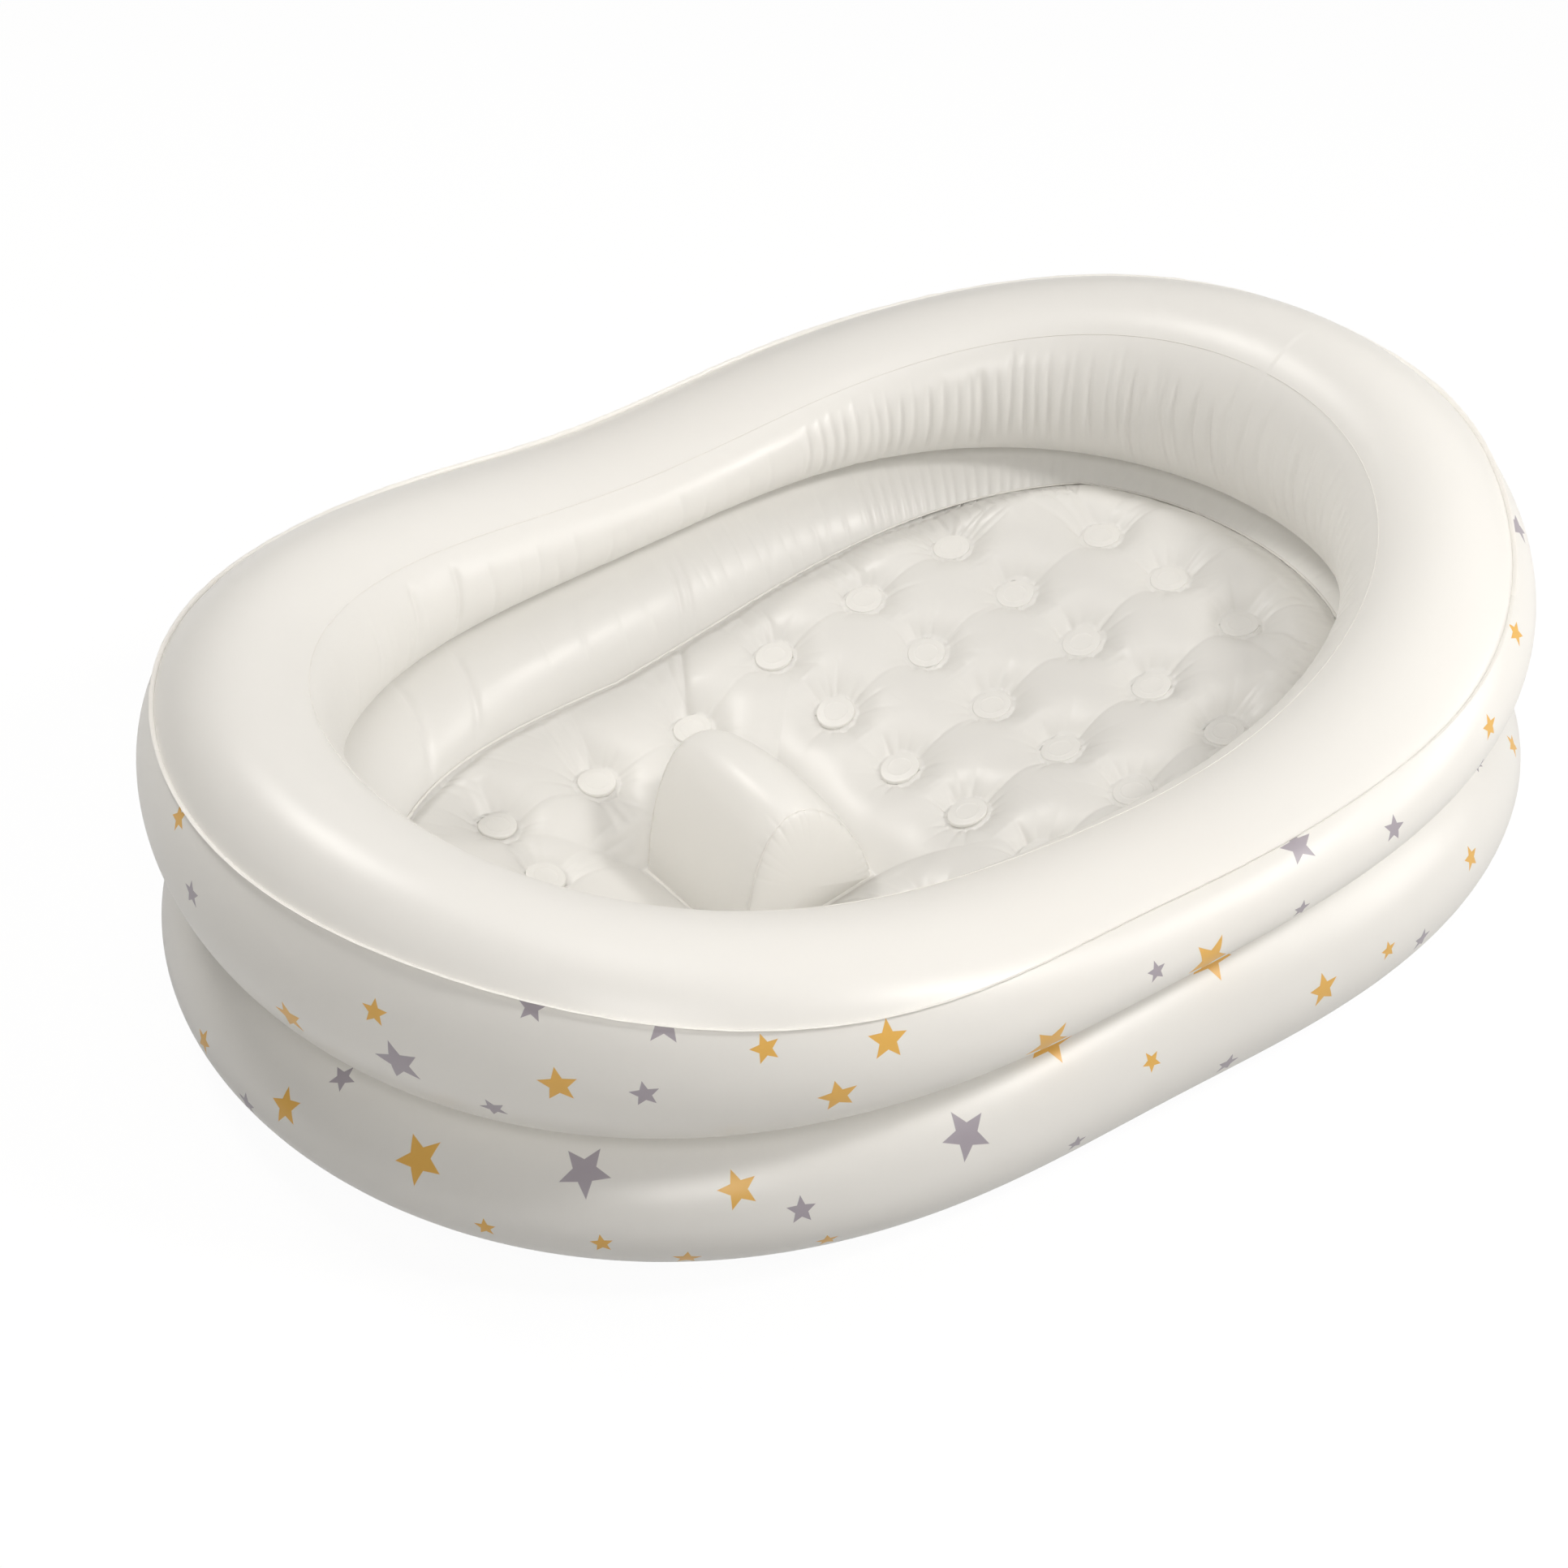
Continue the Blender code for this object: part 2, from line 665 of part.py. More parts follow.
def make_hinged_cap(name, cap, matrix, material, parts, cutters):
    """A cap with a tapered plug, a hinge tab at +X and a lift tab at -X.

    The plug tapers so that it swings clear of its bore, and the hinge lies on the top edge.
    """
    low = -cap["thickness"]
    profile = [
        (0.0, 0.0),
        (cap["radius"] - CAP_EDGE, 0.0),
        (cap["radius"], -CAP_EDGE),
        (cap["radius"], low),
        (cap["plug"], low),
        (cap["tip"], low - cap["reach"]),
        (0.0, low - cap["reach"]),
    ]
    obj = make_turned(name, profile, matrix, material, parts, False)
    half = cap["width"] / 2.0
    inner = cap["radius"] * CAP_TAB_START
    for side, first, last, floor in (
        ("hinge_tab", inner, cap["hinge"], low),
        ("lift_tab", -cap["tab"], -inner, low + LIFT_TAB_STEP),
    ):
        block = make_block(
            f"{name}_{side}",
            (first, -half, floor),
            (last, half, -HINGE_TAB_SKIN),
            matrix,
            material,
            cutters,
        )
        add_boolean(obj, block, "UNION")
    hang_on_hinge(obj, matrix @ Matrix.Translation((cap["hinge"], 0.0, 0.0)))
    return obj


def make_valve(name, matrix, chamber, clear, parts, cutters):
    """One air valve: its own Z points out of the chamber, and its flange's top is at zero."""
    sleeve = SLEEVE_INSIDE + SLEEVE_WALL
    seat = [
        (FLANGE_RADIUS, -FLANGE_EDGE),
        (FLANGE_RADIUS, -FLANGE_THICKNESS),
        (sleeve, -FLANGE_THICKNESS),
        (sleeve, -SLEEVE_DEPTH),
        (SLEEVE_INSIDE, -SLEEVE_DEPTH),
        (SLEEVE_INSIDE, 0.0),
        (FLANGE_RADIUS - FLANGE_EDGE, 0.0),
    ]
    make_turned(name + "_valve_seat", seat, matrix, clear, parts, True)
    foot = -GAP - STEM_LENGTH
    tube = [
        (STEM_OUTSIDE, -GAP),
        (STEM_OUTSIDE, foot),
        (STEM_BORE, foot),
        (STEM_BORE, -GAP),
    ]
    make_turned(name + "_valve_stem", tube, matrix, clear, parts, True)

    cap_frame = matrix @ Matrix.Translation((0.0, 0.0, VALVE_CAP["thickness"] + GAP))
    make_hinged_cap(name + "_valve_cap", VALVE_CAP, cap_frame, clear, parts, cutters)

    flap_frame = matrix @ Matrix.Translation((0.0, 0.0, foot - GAP))
    disc = [(0.0, 0.0), (FLAP_RADIUS, 0.0), (FLAP_RADIUS, -FLAP_THICKNESS), (0.0, -FLAP_THICKNESS)]
    flap = make_turned(name + "_valve_flap", disc, flap_frame, clear, parts, False)
    half = FLAP_TAB_WIDTH / 2.0
    tab = make_block(
        name + "_flap_tab",
        (FLAP_RADIUS * FLAP_TAB_START, -half, FLAP_TAB_SKIN - FLAP_THICKNESS),
        (FLAP_HINGE, half, -FLAP_TAB_SKIN),
        flap_frame,
        clear,
        cutters,
    )
    add_boolean(flap, tab, "UNION")
    hang_on_hinge(flap, flap_frame @ Matrix.Translation((FLAP_HINGE, 0.0, 0.0)))

    pocket = make_cylinder(
        name + "_pocket", FLANGE_RADIUS + POCKET_ROOM, -FLANGE_THICKNESS - GAP, CUTTER_RISE, matrix,
        clear, cutters,
    )
    bore = make_cylinder(
        name + "_bore", sleeve + POCKET_ROOM, -VALVE_BORE_DEPTH, CUTTER_RISE, matrix, clear, cutters
    )
    add_boolean(chamber, pocket, "DIFFERENCE")
    add_boolean(chamber, bore, "DIFFERENCE")


def skin_frame(skin, degrees, sink):
    """Frame of a valve on a ring's outer side: Z out, X down."""
    angle = math.radians(degrees)
    _, normal = rim_frame(angle)
    out = Vector((normal.x, normal.y, 0.0))
    down = Vector((0.0, 0.0, -1.0))
    frame = Matrix((down, out.cross(down), out)).transposed().to_4x4()
    frame.translation = skin(angle, 0.0) - out * sink
    return frame


def make_drain(floor, clear, parts, cutters):
    """The drain's seat, welded through the floor, and its hinged plug."""
    matrix = Matrix.Translation((*DRAIN_AT, DRAIN_PAD + FLOOR_FLANGE_RISE))
    foot = GAP - DRAIN_PAD - FLOOR_FLANGE_RISE
    seat = [
        (DRAIN_FLANGE_RADIUS, -FLANGE_EDGE),
        (DRAIN_FLANGE_RADIUS, -FLANGE_THICKNESS),
        (DRAIN_TUBE, -FLANGE_THICKNESS),
        (DRAIN_TUBE, foot),
        (DRAIN_BORE, foot),
        (DRAIN_BORE, 0.0),
        (DRAIN_FLANGE_RADIUS - FLANGE_EDGE, 0.0),
    ]
    make_turned("drain_seat", seat, matrix, clear, parts, True)
    cap_frame = matrix @ Matrix.Translation((0.0, 0.0, DRAIN_CAP["thickness"] + GAP))
    make_hinged_cap("drain_plug", DRAIN_CAP, cap_frame, clear, parts, cutters)
    pocket = make_cylinder(
        "drain_pocket", DRAIN_FLANGE_RADIUS + POCKET_ROOM, -FLANGE_THICKNESS - GAP, CUTTER_RISE, matrix,
        clear, cutters,
    )
    bore = make_cylinder(
        "drain_bore", DRAIN_TUBE + POCKET_ROOM, -DRAIN_BORE_DEPTH, CUTTER_RISE, matrix, clear, cutters
    )
    add_boolean(floor, pocket, "DIFFERENCE")
    add_boolean(floor, bore, "DIFFERENCE")


def main():
    clear_scene()
    parts = make_collection("inflatable_bathtub")
    cutters = make_collection("cutters")
    cream = make_material("cream_pvc_sheet", PVC_CREAM, SOFT_ROUGHNESS)
    clear = make_material("moulded_soft_pvc", PVC_CLEAR, SOFT_ROUGHNESS)

    make_base(cream, parts)
    wall = make_ring("lower_ring", wall_point, wall_tilt, cream, parts)
    rim = make_ring("upper_ring", rim_point, rim_tilt, cream, parts)
    make_web(cream, parts)
    make_lip("rim_outer_seam", rim_point, OUTER_SEAM_ANGLE, OUTER_SEAM_LIP, cream, parts)
    make_lip("rim_inner_seam", rim_point, INNER_SEAM_ANGLE, INNER_SEAM_LIP, cream, parts)
    make_lip("base_seam", wall_point, BASE_SEAM_ANGLE, BASE_SEAM_LIP, cream, parts)

    floor = make_floor(cream, parts, cutters)
    make_floor_seam(cream, parts)
    make_horn(cream, parts)
    make_horn_seam("horn_near_seam", -HORN_HALF_WIDTH, cream, parts)
    make_horn_seam("horn_far_seam", HORN_HALF_WIDTH, cream, parts)
    make_horn_flange(cream, parts)

    rim_frame_out = skin_frame(rim_point, RIM_VALVE_ANGLE, SKIN_VALVE_SINK)
    wall_frame_out = skin_frame(wall_point, WALL_VALVE_ANGLE, SKIN_VALVE_SINK)
    floor_frame = Matrix.Translation((*FLOOR_VALVE_AT, FLOOR_VALVE_PAD + FLOOR_FLANGE_RISE))
    make_valve("rim", rim_frame_out, rim, clear, parts, cutters)
    make_valve("wall", wall_frame_out, wall, clear, parts, cutters)
    make_valve("floor", floor_frame, floor, clear, parts, cutters)
    make_drain(floor, clear, parts, cutters)


main()
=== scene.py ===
"""Looks of an inflatable baby bathtub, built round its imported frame.

Metres, +Z up, with the high head end at +X. Every air chamber is a fine skin of welded PVC sheet
that takes the place of its solid, and the valves and the drain are moulded soft PVC.
"""
import logging
import math
from collections.abc import Callable, Sequence
from dataclasses import dataclass, field
from enum import Enum

import bmesh
import bpy
import numpy as np
from mathutils import Matrix, Vector


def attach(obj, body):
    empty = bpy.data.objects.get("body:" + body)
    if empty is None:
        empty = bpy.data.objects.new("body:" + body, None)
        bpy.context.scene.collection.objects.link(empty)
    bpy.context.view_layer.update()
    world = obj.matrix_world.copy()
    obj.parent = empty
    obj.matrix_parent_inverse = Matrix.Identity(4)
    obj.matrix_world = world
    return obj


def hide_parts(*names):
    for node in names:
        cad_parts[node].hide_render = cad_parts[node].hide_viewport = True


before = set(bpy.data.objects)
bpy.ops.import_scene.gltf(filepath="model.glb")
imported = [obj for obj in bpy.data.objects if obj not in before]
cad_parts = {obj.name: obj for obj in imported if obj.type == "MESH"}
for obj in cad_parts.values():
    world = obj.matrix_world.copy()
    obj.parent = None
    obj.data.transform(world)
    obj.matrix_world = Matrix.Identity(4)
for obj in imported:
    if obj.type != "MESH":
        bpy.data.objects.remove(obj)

Array = np.ndarray
LOG = logging.getLogger("bathtub")
# Clearance between neighbouring pieces, and the thickness of the sheet.
GAP = 0.0003
SHEET = 0.0005
# Section angles in degrees between which a ring lies flat: its underside, and the lower ring's top.
FLAT_UNDER = (255.0, 285.0)
FLAT_OVER = (75.0, 105.0)
# Vertices closer than these are one: on a grid rolled up at unit radius, and on a turned part.
SAME_ON_GRID = 0.00001
SAME_ON_PART = 0.00002
# Angle in degrees past which an edge of a moulded piece stays sharp.
MOULDED_CREASE = 40.0


def ease(value: Array | float) -> Array:
    """Smooth step from 0 to 1.

    Args:
        value: where on the step, held between 0 and 1.

    Returns:
        The eased value.
    """
    held = np.clip(value, 0.0, 1.0)
    return held * held * (3.0 - 2.0 * held)


def waves(angle: Array | float, terms: tuple[float, ...]) -> Array:
    """Sum of cosine waves of an angle in radians.

    Args:
        angle: the angle, or an array of them.
        terms: the size of each wave, from the constant up.

    Returns:
        The sum at each angle.
    """
    return sum(term * np.cos(order * angle) for order, term in enumerate(terms))


def wrapped(gap: Array | float, period: float = math.tau) -> Array:
    """The short way round a closed loop.

    Args:
        gap: signed distance between two places on the loop.
        period: length of the loop.

    Returns:
        The same distance, brought to within half the loop.
    """
    return np.remainder(gap + period / 2.0, period) - period / 2.0


def linear_colour(code: str) -> tuple[float, float, float, float]:
    """Turns an sRGB hex colour to linear RGBA.

    Args:
        code: six hex digits.

    Returns:
        Red, green, blue and alpha.
    """
    shares = [int(code[i : i + 2], 16) / 255.0 for i in (0, 2, 4)]
    lit = [s / 12.92 if s <= 0.04045 else ((s + 0.055) / 1.055) ** 2.4 for s in shares]
    return (*lit, 1.0)


@dataclass(frozen=True)
class TubOutline:
    """Plan and sections of the two air rings, the same ones as the frame's."""

    rim_waves: tuple[float, ...] = (0.3311, -0.0229, 0.0589, -0.0063, -0.0031, 0.0017, -0.0013)
    rim_half_width: float = 0.0595
    rim_half_height: tuple[float, ...] = (0.0524, -0.0015, 0.0192)
    wall_half_width: float = 0.069
    wall_half_height: tuple[float, ...] = (0.0529, 0.0066, -0.0031)
    wall_offset: tuple[float, ...] = (-0.0086, 0.0056, 0.0044)
    head_tuck: float = 0.0055
    head_tuck_angle: float = math.radians(40.0)
    ring_sink: float = 0.003
    web: float = 0.0006

    @property
    def shift(self) -> float:
        """How far the plan's pole stands from the middle of its length."""
        return float(waves(math.pi, self.rim_waves) - waves(0.0, self.rim_waves)) / 2.0

    def centre(self, angle: Array) -> tuple[Array, Array]:
        """Rim's centre line in plan.

        Args:
            angle: angles round the plan's pole.

        Returns:
            The points and their outward unit normals, each with X and Y on the last axis.
        """
        reach = waves(angle, self.rim_waves)
        growth = -sum(k * c * np.sin(k * angle) for k, c in enumerate(self.rim_waves))
        cos, sin = np.cos(angle), np.sin(angle)
        points = np.stack([self.shift + reach * cos, reach * sin], -1)
        normals = np.stack([growth * sin + reach * cos, reach * sin - growth * cos], -1)
        return points, normals / np.linalg.norm(normals, axis=-1, keepdims=True)

    def section(
        self, angle: Array, tilt: Array, width: Array, height: Array, middle: Array, offset: Array
    ) -> Array:
        """Points of an oval section that stands on the centre line.

        Args:
            angle: angles round the plan's pole.
            tilt: angles in the section, 0 at its outer side and a quarter turn at its top.
            width: half width of the section.
            height: half height of the section.
            middle: height of its middle.
            offset: how far outside the centre line its middle stands.

        Returns:
            Points with X, Y and Z on the last axis.
        """
        points, normals = self.centre(angle)
        plan = points + normals * (offset + width * np.cos(tilt))[..., None]
        return np.concatenate([plan, (middle + height * np.sin(tilt))[..., None]], -1)

    def web_height(self, angle: Array) -> Array:
        """Height of the web between the rings."""
        return 2.0 * waves(angle, self.wall_half_height) - self.ring_sink / 2.0

    def rim(self, angle: Array, tilt: Array) -> Array:
        """Skin of the upper ring.

        Args:
            angle: angles round the plan's pole.
            tilt: angles in the section.

        Returns:
            Points of the skin.
        """
        angle, tilt = np.broadcast_arrays(angle, tilt)
        height = waves(angle, self.rim_half_height)
        middle = 2.0 * waves(angle, self.wall_half_height) + height - self.ring_sink
        skin = self.section(angle, tilt, self.rim_half_width, height, middle, np.zeros_like(tilt))
        skin[..., 2] = np.maximum(skin[..., 2], self.web_height(angle) + self.web / 2.0 + GAP)
        return skin

    def wall(self, angle: Array, tilt: Array) -> Array:
        """Skin of the lower ring.

        Args:
            angle: angles round the plan's pole.
            tilt: angles in the section.

        Returns:
            Points of the skin.
        """
        angle, tilt = np.broadcast_arrays(angle, tilt)
        turn = np.abs(wrapped(angle))
        tuck = self.head_tuck * ease(1.0 - turn / self.head_tuck_angle)
        middle = waves(angle, self.wall_half_height)
        offset = waves(angle, self.wall_offset) - tuck
        skin = self.section(angle, tilt, self.wall_half_width - tuck, middle, middle, offset)
        skin[..., 2] = np.minimum(skin[..., 2], self.web_height(angle) - self.web / 2.0 - GAP)
        skin[..., 2] = np.maximum(skin[..., 2], SHEET + GAP)
        return skin

    def skin(self, upper: bool) -> Callable[[Array, Array], Array]:
        """The skin of the upper or of the lower ring."""
        return self.rim if upper else self.wall


OUTLINE = TubOutline()


def finish_mesh(
    bm: bmesh.types.BMesh, name: str, points: Array | None = None, crease: float = 180.0
) -> bpy.types.Object:
    """Makes a bmesh a smooth-shaded object at the origin.

    Args:
        bm: the bmesh, which is freed.
        name: the object's name.
        points: new places of its vertices, or None to keep them.
        crease: the angle in degrees past which an edge stays sharp.

    Returns:
        The object.
    """
    mesh = bpy.data.meshes.new(name)
    bm.to_mesh(mesh)
    bm.free()
    if points is not None:
        mesh.vertices.foreach_set("co", np.ascontiguousarray(points, dtype=np.float32).ravel())
    turned = bmesh.new()
    turned.from_mesh(mesh)
    if turned.calc_volume(signed=True) < 0.0:
        bmesh.ops.reverse_faces(turned, faces=turned.faces)
        turned.to_mesh(mesh)
    turned.free()
    mesh.shade_smooth()
    if crease < 180.0:
        mesh.set_sharp_from_angle(angle=math.radians(crease))
    mesh.update()
    piece = bpy.data.objects.new(name, mesh)
    bpy.context.scene.collection.objects.link(piece)
    return piece


def verts_of(geometry: Sequence) -> list[bmesh.types.BMVert]:
    """The vertices among what a bmesh operator returned."""
    return [item for item in geometry if isinstance(item, bmesh.types.BMVert)]


def open_edges_of(geometry: Sequence) -> list[bmesh.types.BMEdge]:
    """The edges with one face among what a bmesh operator returned."""
    return [item for item in geometry if isinstance(item, bmesh.types.BMEdge) and item.is_boundary]


def torus_grid(around: int, section: int) -> tuple[bmesh.types.BMesh, Array, Array]:
    """Rolls a grid up into a torus.

    Args:
        around: steps round the torus.
        section: steps round its section.

    Returns:
        The bmesh, and for each vertex its step round and its step in the section.
    """
    bm = bmesh.new()
    bmesh.ops.create_grid(bm, x_segments=around, y_segments=section, size=1.0)
    for vert in bm.verts:
        turn, tilt = math.pi * (vert.co.x + 1.0), math.pi * (vert.co.y + 1.0)
        reach = 1.0 + 0.25 * math.cos(tilt)
        vert.co = (reach * math.cos(turn), reach * math.sin(turn), 0.25 * math.sin(tilt))
    bmesh.ops.remove_doubles(bm, verts=bm.verts, dist=SAME_ON_GRID)
    places = np.array([vert.co[:] for vert in bm.verts])
    reach = np.hypot(places[:, 0], places[:, 1]) - 1.0
    turn = np.arctan2(places[:, 1], places[:, 0]) / math.tau
    tilt = np.arctan2(places[:, 2], reach) / math.tau
    steps = np.round(turn * around).astype(int) % around
    return bm, steps, np.round(tilt * section).astype(int) % section


def sphere_grid(around: int, rings: int) -> tuple[bmesh.types.BMesh, Array, Array]:
    """Rolls a grid up into a sphere whose vertices are told by ring and angle.

    Args:
        around: steps round the sphere.
        rings: rings between its two poles.

    Returns:
        The bmesh, and for each vertex its angle and its ring, with the poles as the first and last.
    """
    bm = bmesh.new()
    bmesh.ops.create_grid(bm, x_segments=around, y_segments=rings + 1, size=1.0)
    for vert in bm.verts:
        turn, fall = math.pi * (vert.co.x + 1.0), math.pi * (vert.co.y + 1.0) / 2.0
        vert.co = (math.sin(fall) * math.cos(turn), math.sin(fall) * math.sin(turn), math.cos(fall))
    bmesh.ops.remove_doubles(bm, verts=bm.verts, dist=SAME_ON_GRID)
    places = np.array([vert.co[:] for vert in bm.verts])
    ring = np.round(np.arccos(np.clip(places[:, 2], -1.0, 1.0)) * (rings + 1) / math.pi).astype(int)
    return bm, np.arctan2(places[:, 1], places[:, 0]), ring


def disc_grid(steps: int) -> tuple[bmesh.types.BMesh, Array, Array]:
    """Makes a square grid whose squares are told by their place on a round disc.

    Args:
        steps: squares along each side.

    Returns:
        The bmesh, and for each vertex its angle and its share of the way out from the middle.
    """
    bm = bmesh.new()
    bmesh.ops.create_grid(bm, x_segments=steps, y_segments=steps, size=1.0)
    across, up = np.array([vert.co[:2] for vert in bm.verts]).T
    wide = np.abs(across) > np.abs(up)
    reach = np.maximum(np.abs(across), np.abs(up))
    safe = np.where(reach < 1e-9, 1.0, reach)
    lean = np.where(wide, up, across) / safe * (math.pi / 4.0)
    turn = np.where(wide, np.where(across > 0.0, lean, math.pi - lean), 0.0)
    turn = np.where(~wide, np.where(up >= 0.0, math.pi / 2.0 - lean, lean - math.pi / 2.0), turn)
    return bm, turn, reach


def spread(stops: list[tuple[Array, int]]) -> Array:
    """Section angles for each step of a section.

    Args:
        stops: angles in degrees at which a run of steps ends, each with the run's steps.

    Returns:
        Angles in radians, one row for each angle round and one column for each step.
    """
    columns = []
    start = stops[0][0]
    for end, steps in stops[1:]:
        columns += [start + (end - start) * number / steps for number in range(steps)]
        start = end
    return np.radians(np.stack(columns, -1))


def grid_normals(grid: Array, middle: Array) -> Array:
    """Outward unit normals of a closed grid of points.

    Args:
        grid: points by step round and step in the section.
        middle: a point inside each section.

    Returns:
        One normal for each point.
    """
    along = np.roll(grid, -1, 0) - np.roll(grid, 1, 0)
    across = np.roll(grid, -1, 1) - np.roll(grid, 1, 1)
    normal = np.cross(along, across)
    normal /= np.linalg.norm(normal, axis=-1, keepdims=True) + 1e-12
    side = np.sign(((grid - middle) * normal).sum(-1, keepdims=True))
    return normal * np.where(side == 0.0, 1.0, side)


class StarTone(Enum):
    """The two inks of the print."""

    GOLD = 0.0
    GREY = 1.0


class StarSize(Enum):
    """Reach of a printed star from its middle to a tip, in metres."""

    SMALL = 0.0066
    MEDIUM = 0.0083
    LARGE = 0.0113
    GIANT = 0.0147


@dataclass(frozen=True)
class Star:
    """One printed star, placed by its angle round the tub and its angle on a ring."""

    upper: bool
    angle: float
    tilt: float
    size: StarSize
    turn: float
    tone: StarTone

    def spot(self) -> tuple[Array, Array, Array]:
        """Where the star lies.

        Returns:
            Its middle, the way round the tub and the way up, both along the sheet.
        """
        skin = OUTLINE.skin(self.upper)
        angle, tilt, step = math.radians(self.angle), math.radians(self.tilt), 0.01
        middle = skin(np.array(angle), np.array(tilt))
        around = skin(np.array(angle + step), np.array(tilt)) - middle
        up = skin(np.array(angle), np.array(tilt + step)) - middle
        around /= np.linalg.norm(around)
        up -= around * (up @ around)
        return middle, around, up / np.linalg.norm(up)


def star_layout() -> list[Star]:
    """The print's layout: one length of it, repeated once round the far side.

    Returns:
        Every star on the tub.
    """
    gold, grey = StarTone.GOLD, StarTone.GREY
    small, medium, large, giant = StarSize.SMALL, StarSize.MEDIUM, StarSize.LARGE, StarSize.GIANT
    rows = [
        (True, -185.6, 33, medium, 36, gold), (True, -182, 9, medium, -5, grey),
        (True, -172, -17, large, -12, gold), (True, -164.5, 14, medium, -2, gold),
        (True, -163, -9, giant, -20, grey), (True, -157, -23, medium, -25, grey),
        (True, -154.5, 39, medium, 0, grey), (True, -152.7, 3, large, -12, gold),
        (True, -147.6, 3, medium, -12, grey), (True, -146.4, 40, large, 0, grey),
        (True, -140.3, 28, medium, -18, gold), (True, -135.8, -6, large, -12, gold),
        (True, -132.2, 25, large, 2, gold), (True, -118.5, -17, giant, 34, gold),
        (True, -106, 9, small, -5, grey), (True, -98, -8, giant, 36, gold),
        (True, -84, -8, small, 10, grey), (True, -82, 45, large, 5, grey),
        (True, -70, 13, medium, 20, grey), (True, -54, -15, small, 0, grey),
        (True, -53, 15, medium, 10, gold), (True, -43, 33, medium, 0, gold),
        (True, -30, 40, large, 12, grey),
        (False, -184, 7, medium, 8, gold), (False, -178, -5, medium, 0, grey),
        (False, -174, 20, large, -20, gold), (False, -171.2, 53, medium, 8, grey),
        (False, -163, 31, giant, 34, gold), (False, -158, -4, small, -5, gold),
        (False, -152, 44, giant, 27, grey), (False, -150.6, -2, small, -8, gold),
        (False, -145.4, -19, medium, 5, gold), (False, -142, 33, large, -14, gold),
        (False, -138, 15, medium, 2, grey), (False, -136.2, -18, small, -5, gold),
        (False, -125, 30, giant, -14, grey), (False, -114.2, 56, giant, 34, gold),
        (False, -91.5, 54, giant, 36, gold), (False, -114, -13, small, 0, grey),
        (False, -104, 19, small, -20, gold), (False, -92, -15, medium, 12, grey),
        (False, -78, 6, large, -3, gold), (False, -68, 5, small, -5, gold),
        (False, -62, -8, medium, 5, grey), (False, -53, 17, medium, 0, gold),
        (False, -37, 27, medium, 0, gold), (False, -44.5, 50, small, 5, grey),
    ]
    repeat, far_end, valve_room = 187, 158, 0.036
    near = [Star(*row) for row in rows]
    far = [Star(s.upper, s.angle + repeat, s.tilt, s.size, s.turn, s.tone) for s in near]
    ports = [valve.matrix().translation for valve in ring_valves()]
    open_far = [s for s in far if min((Vector(s.spot()[0]) - port).length for port in ports) > valve_room]
    return near + [s for s in open_far if s.angle < far_end]


@dataclass(frozen=True)
class PleatZone:
    """A run of pleats on a ring's inner wall, mirrored on the tub's other side."""

    first: float
    last: float
    pitch: float
    depth: float
    width: float
    top: float
    bottom: float
    spread: float = 0.45


@dataclass(frozen=True)
class Fold:
    """One deeper fold down a ring's inner wall, given by its angle at its top and its bottom."""

    first: float
    last: float
    top: float
    bottom: float
    depth: float = 0.0022
    width: float = 0.0026


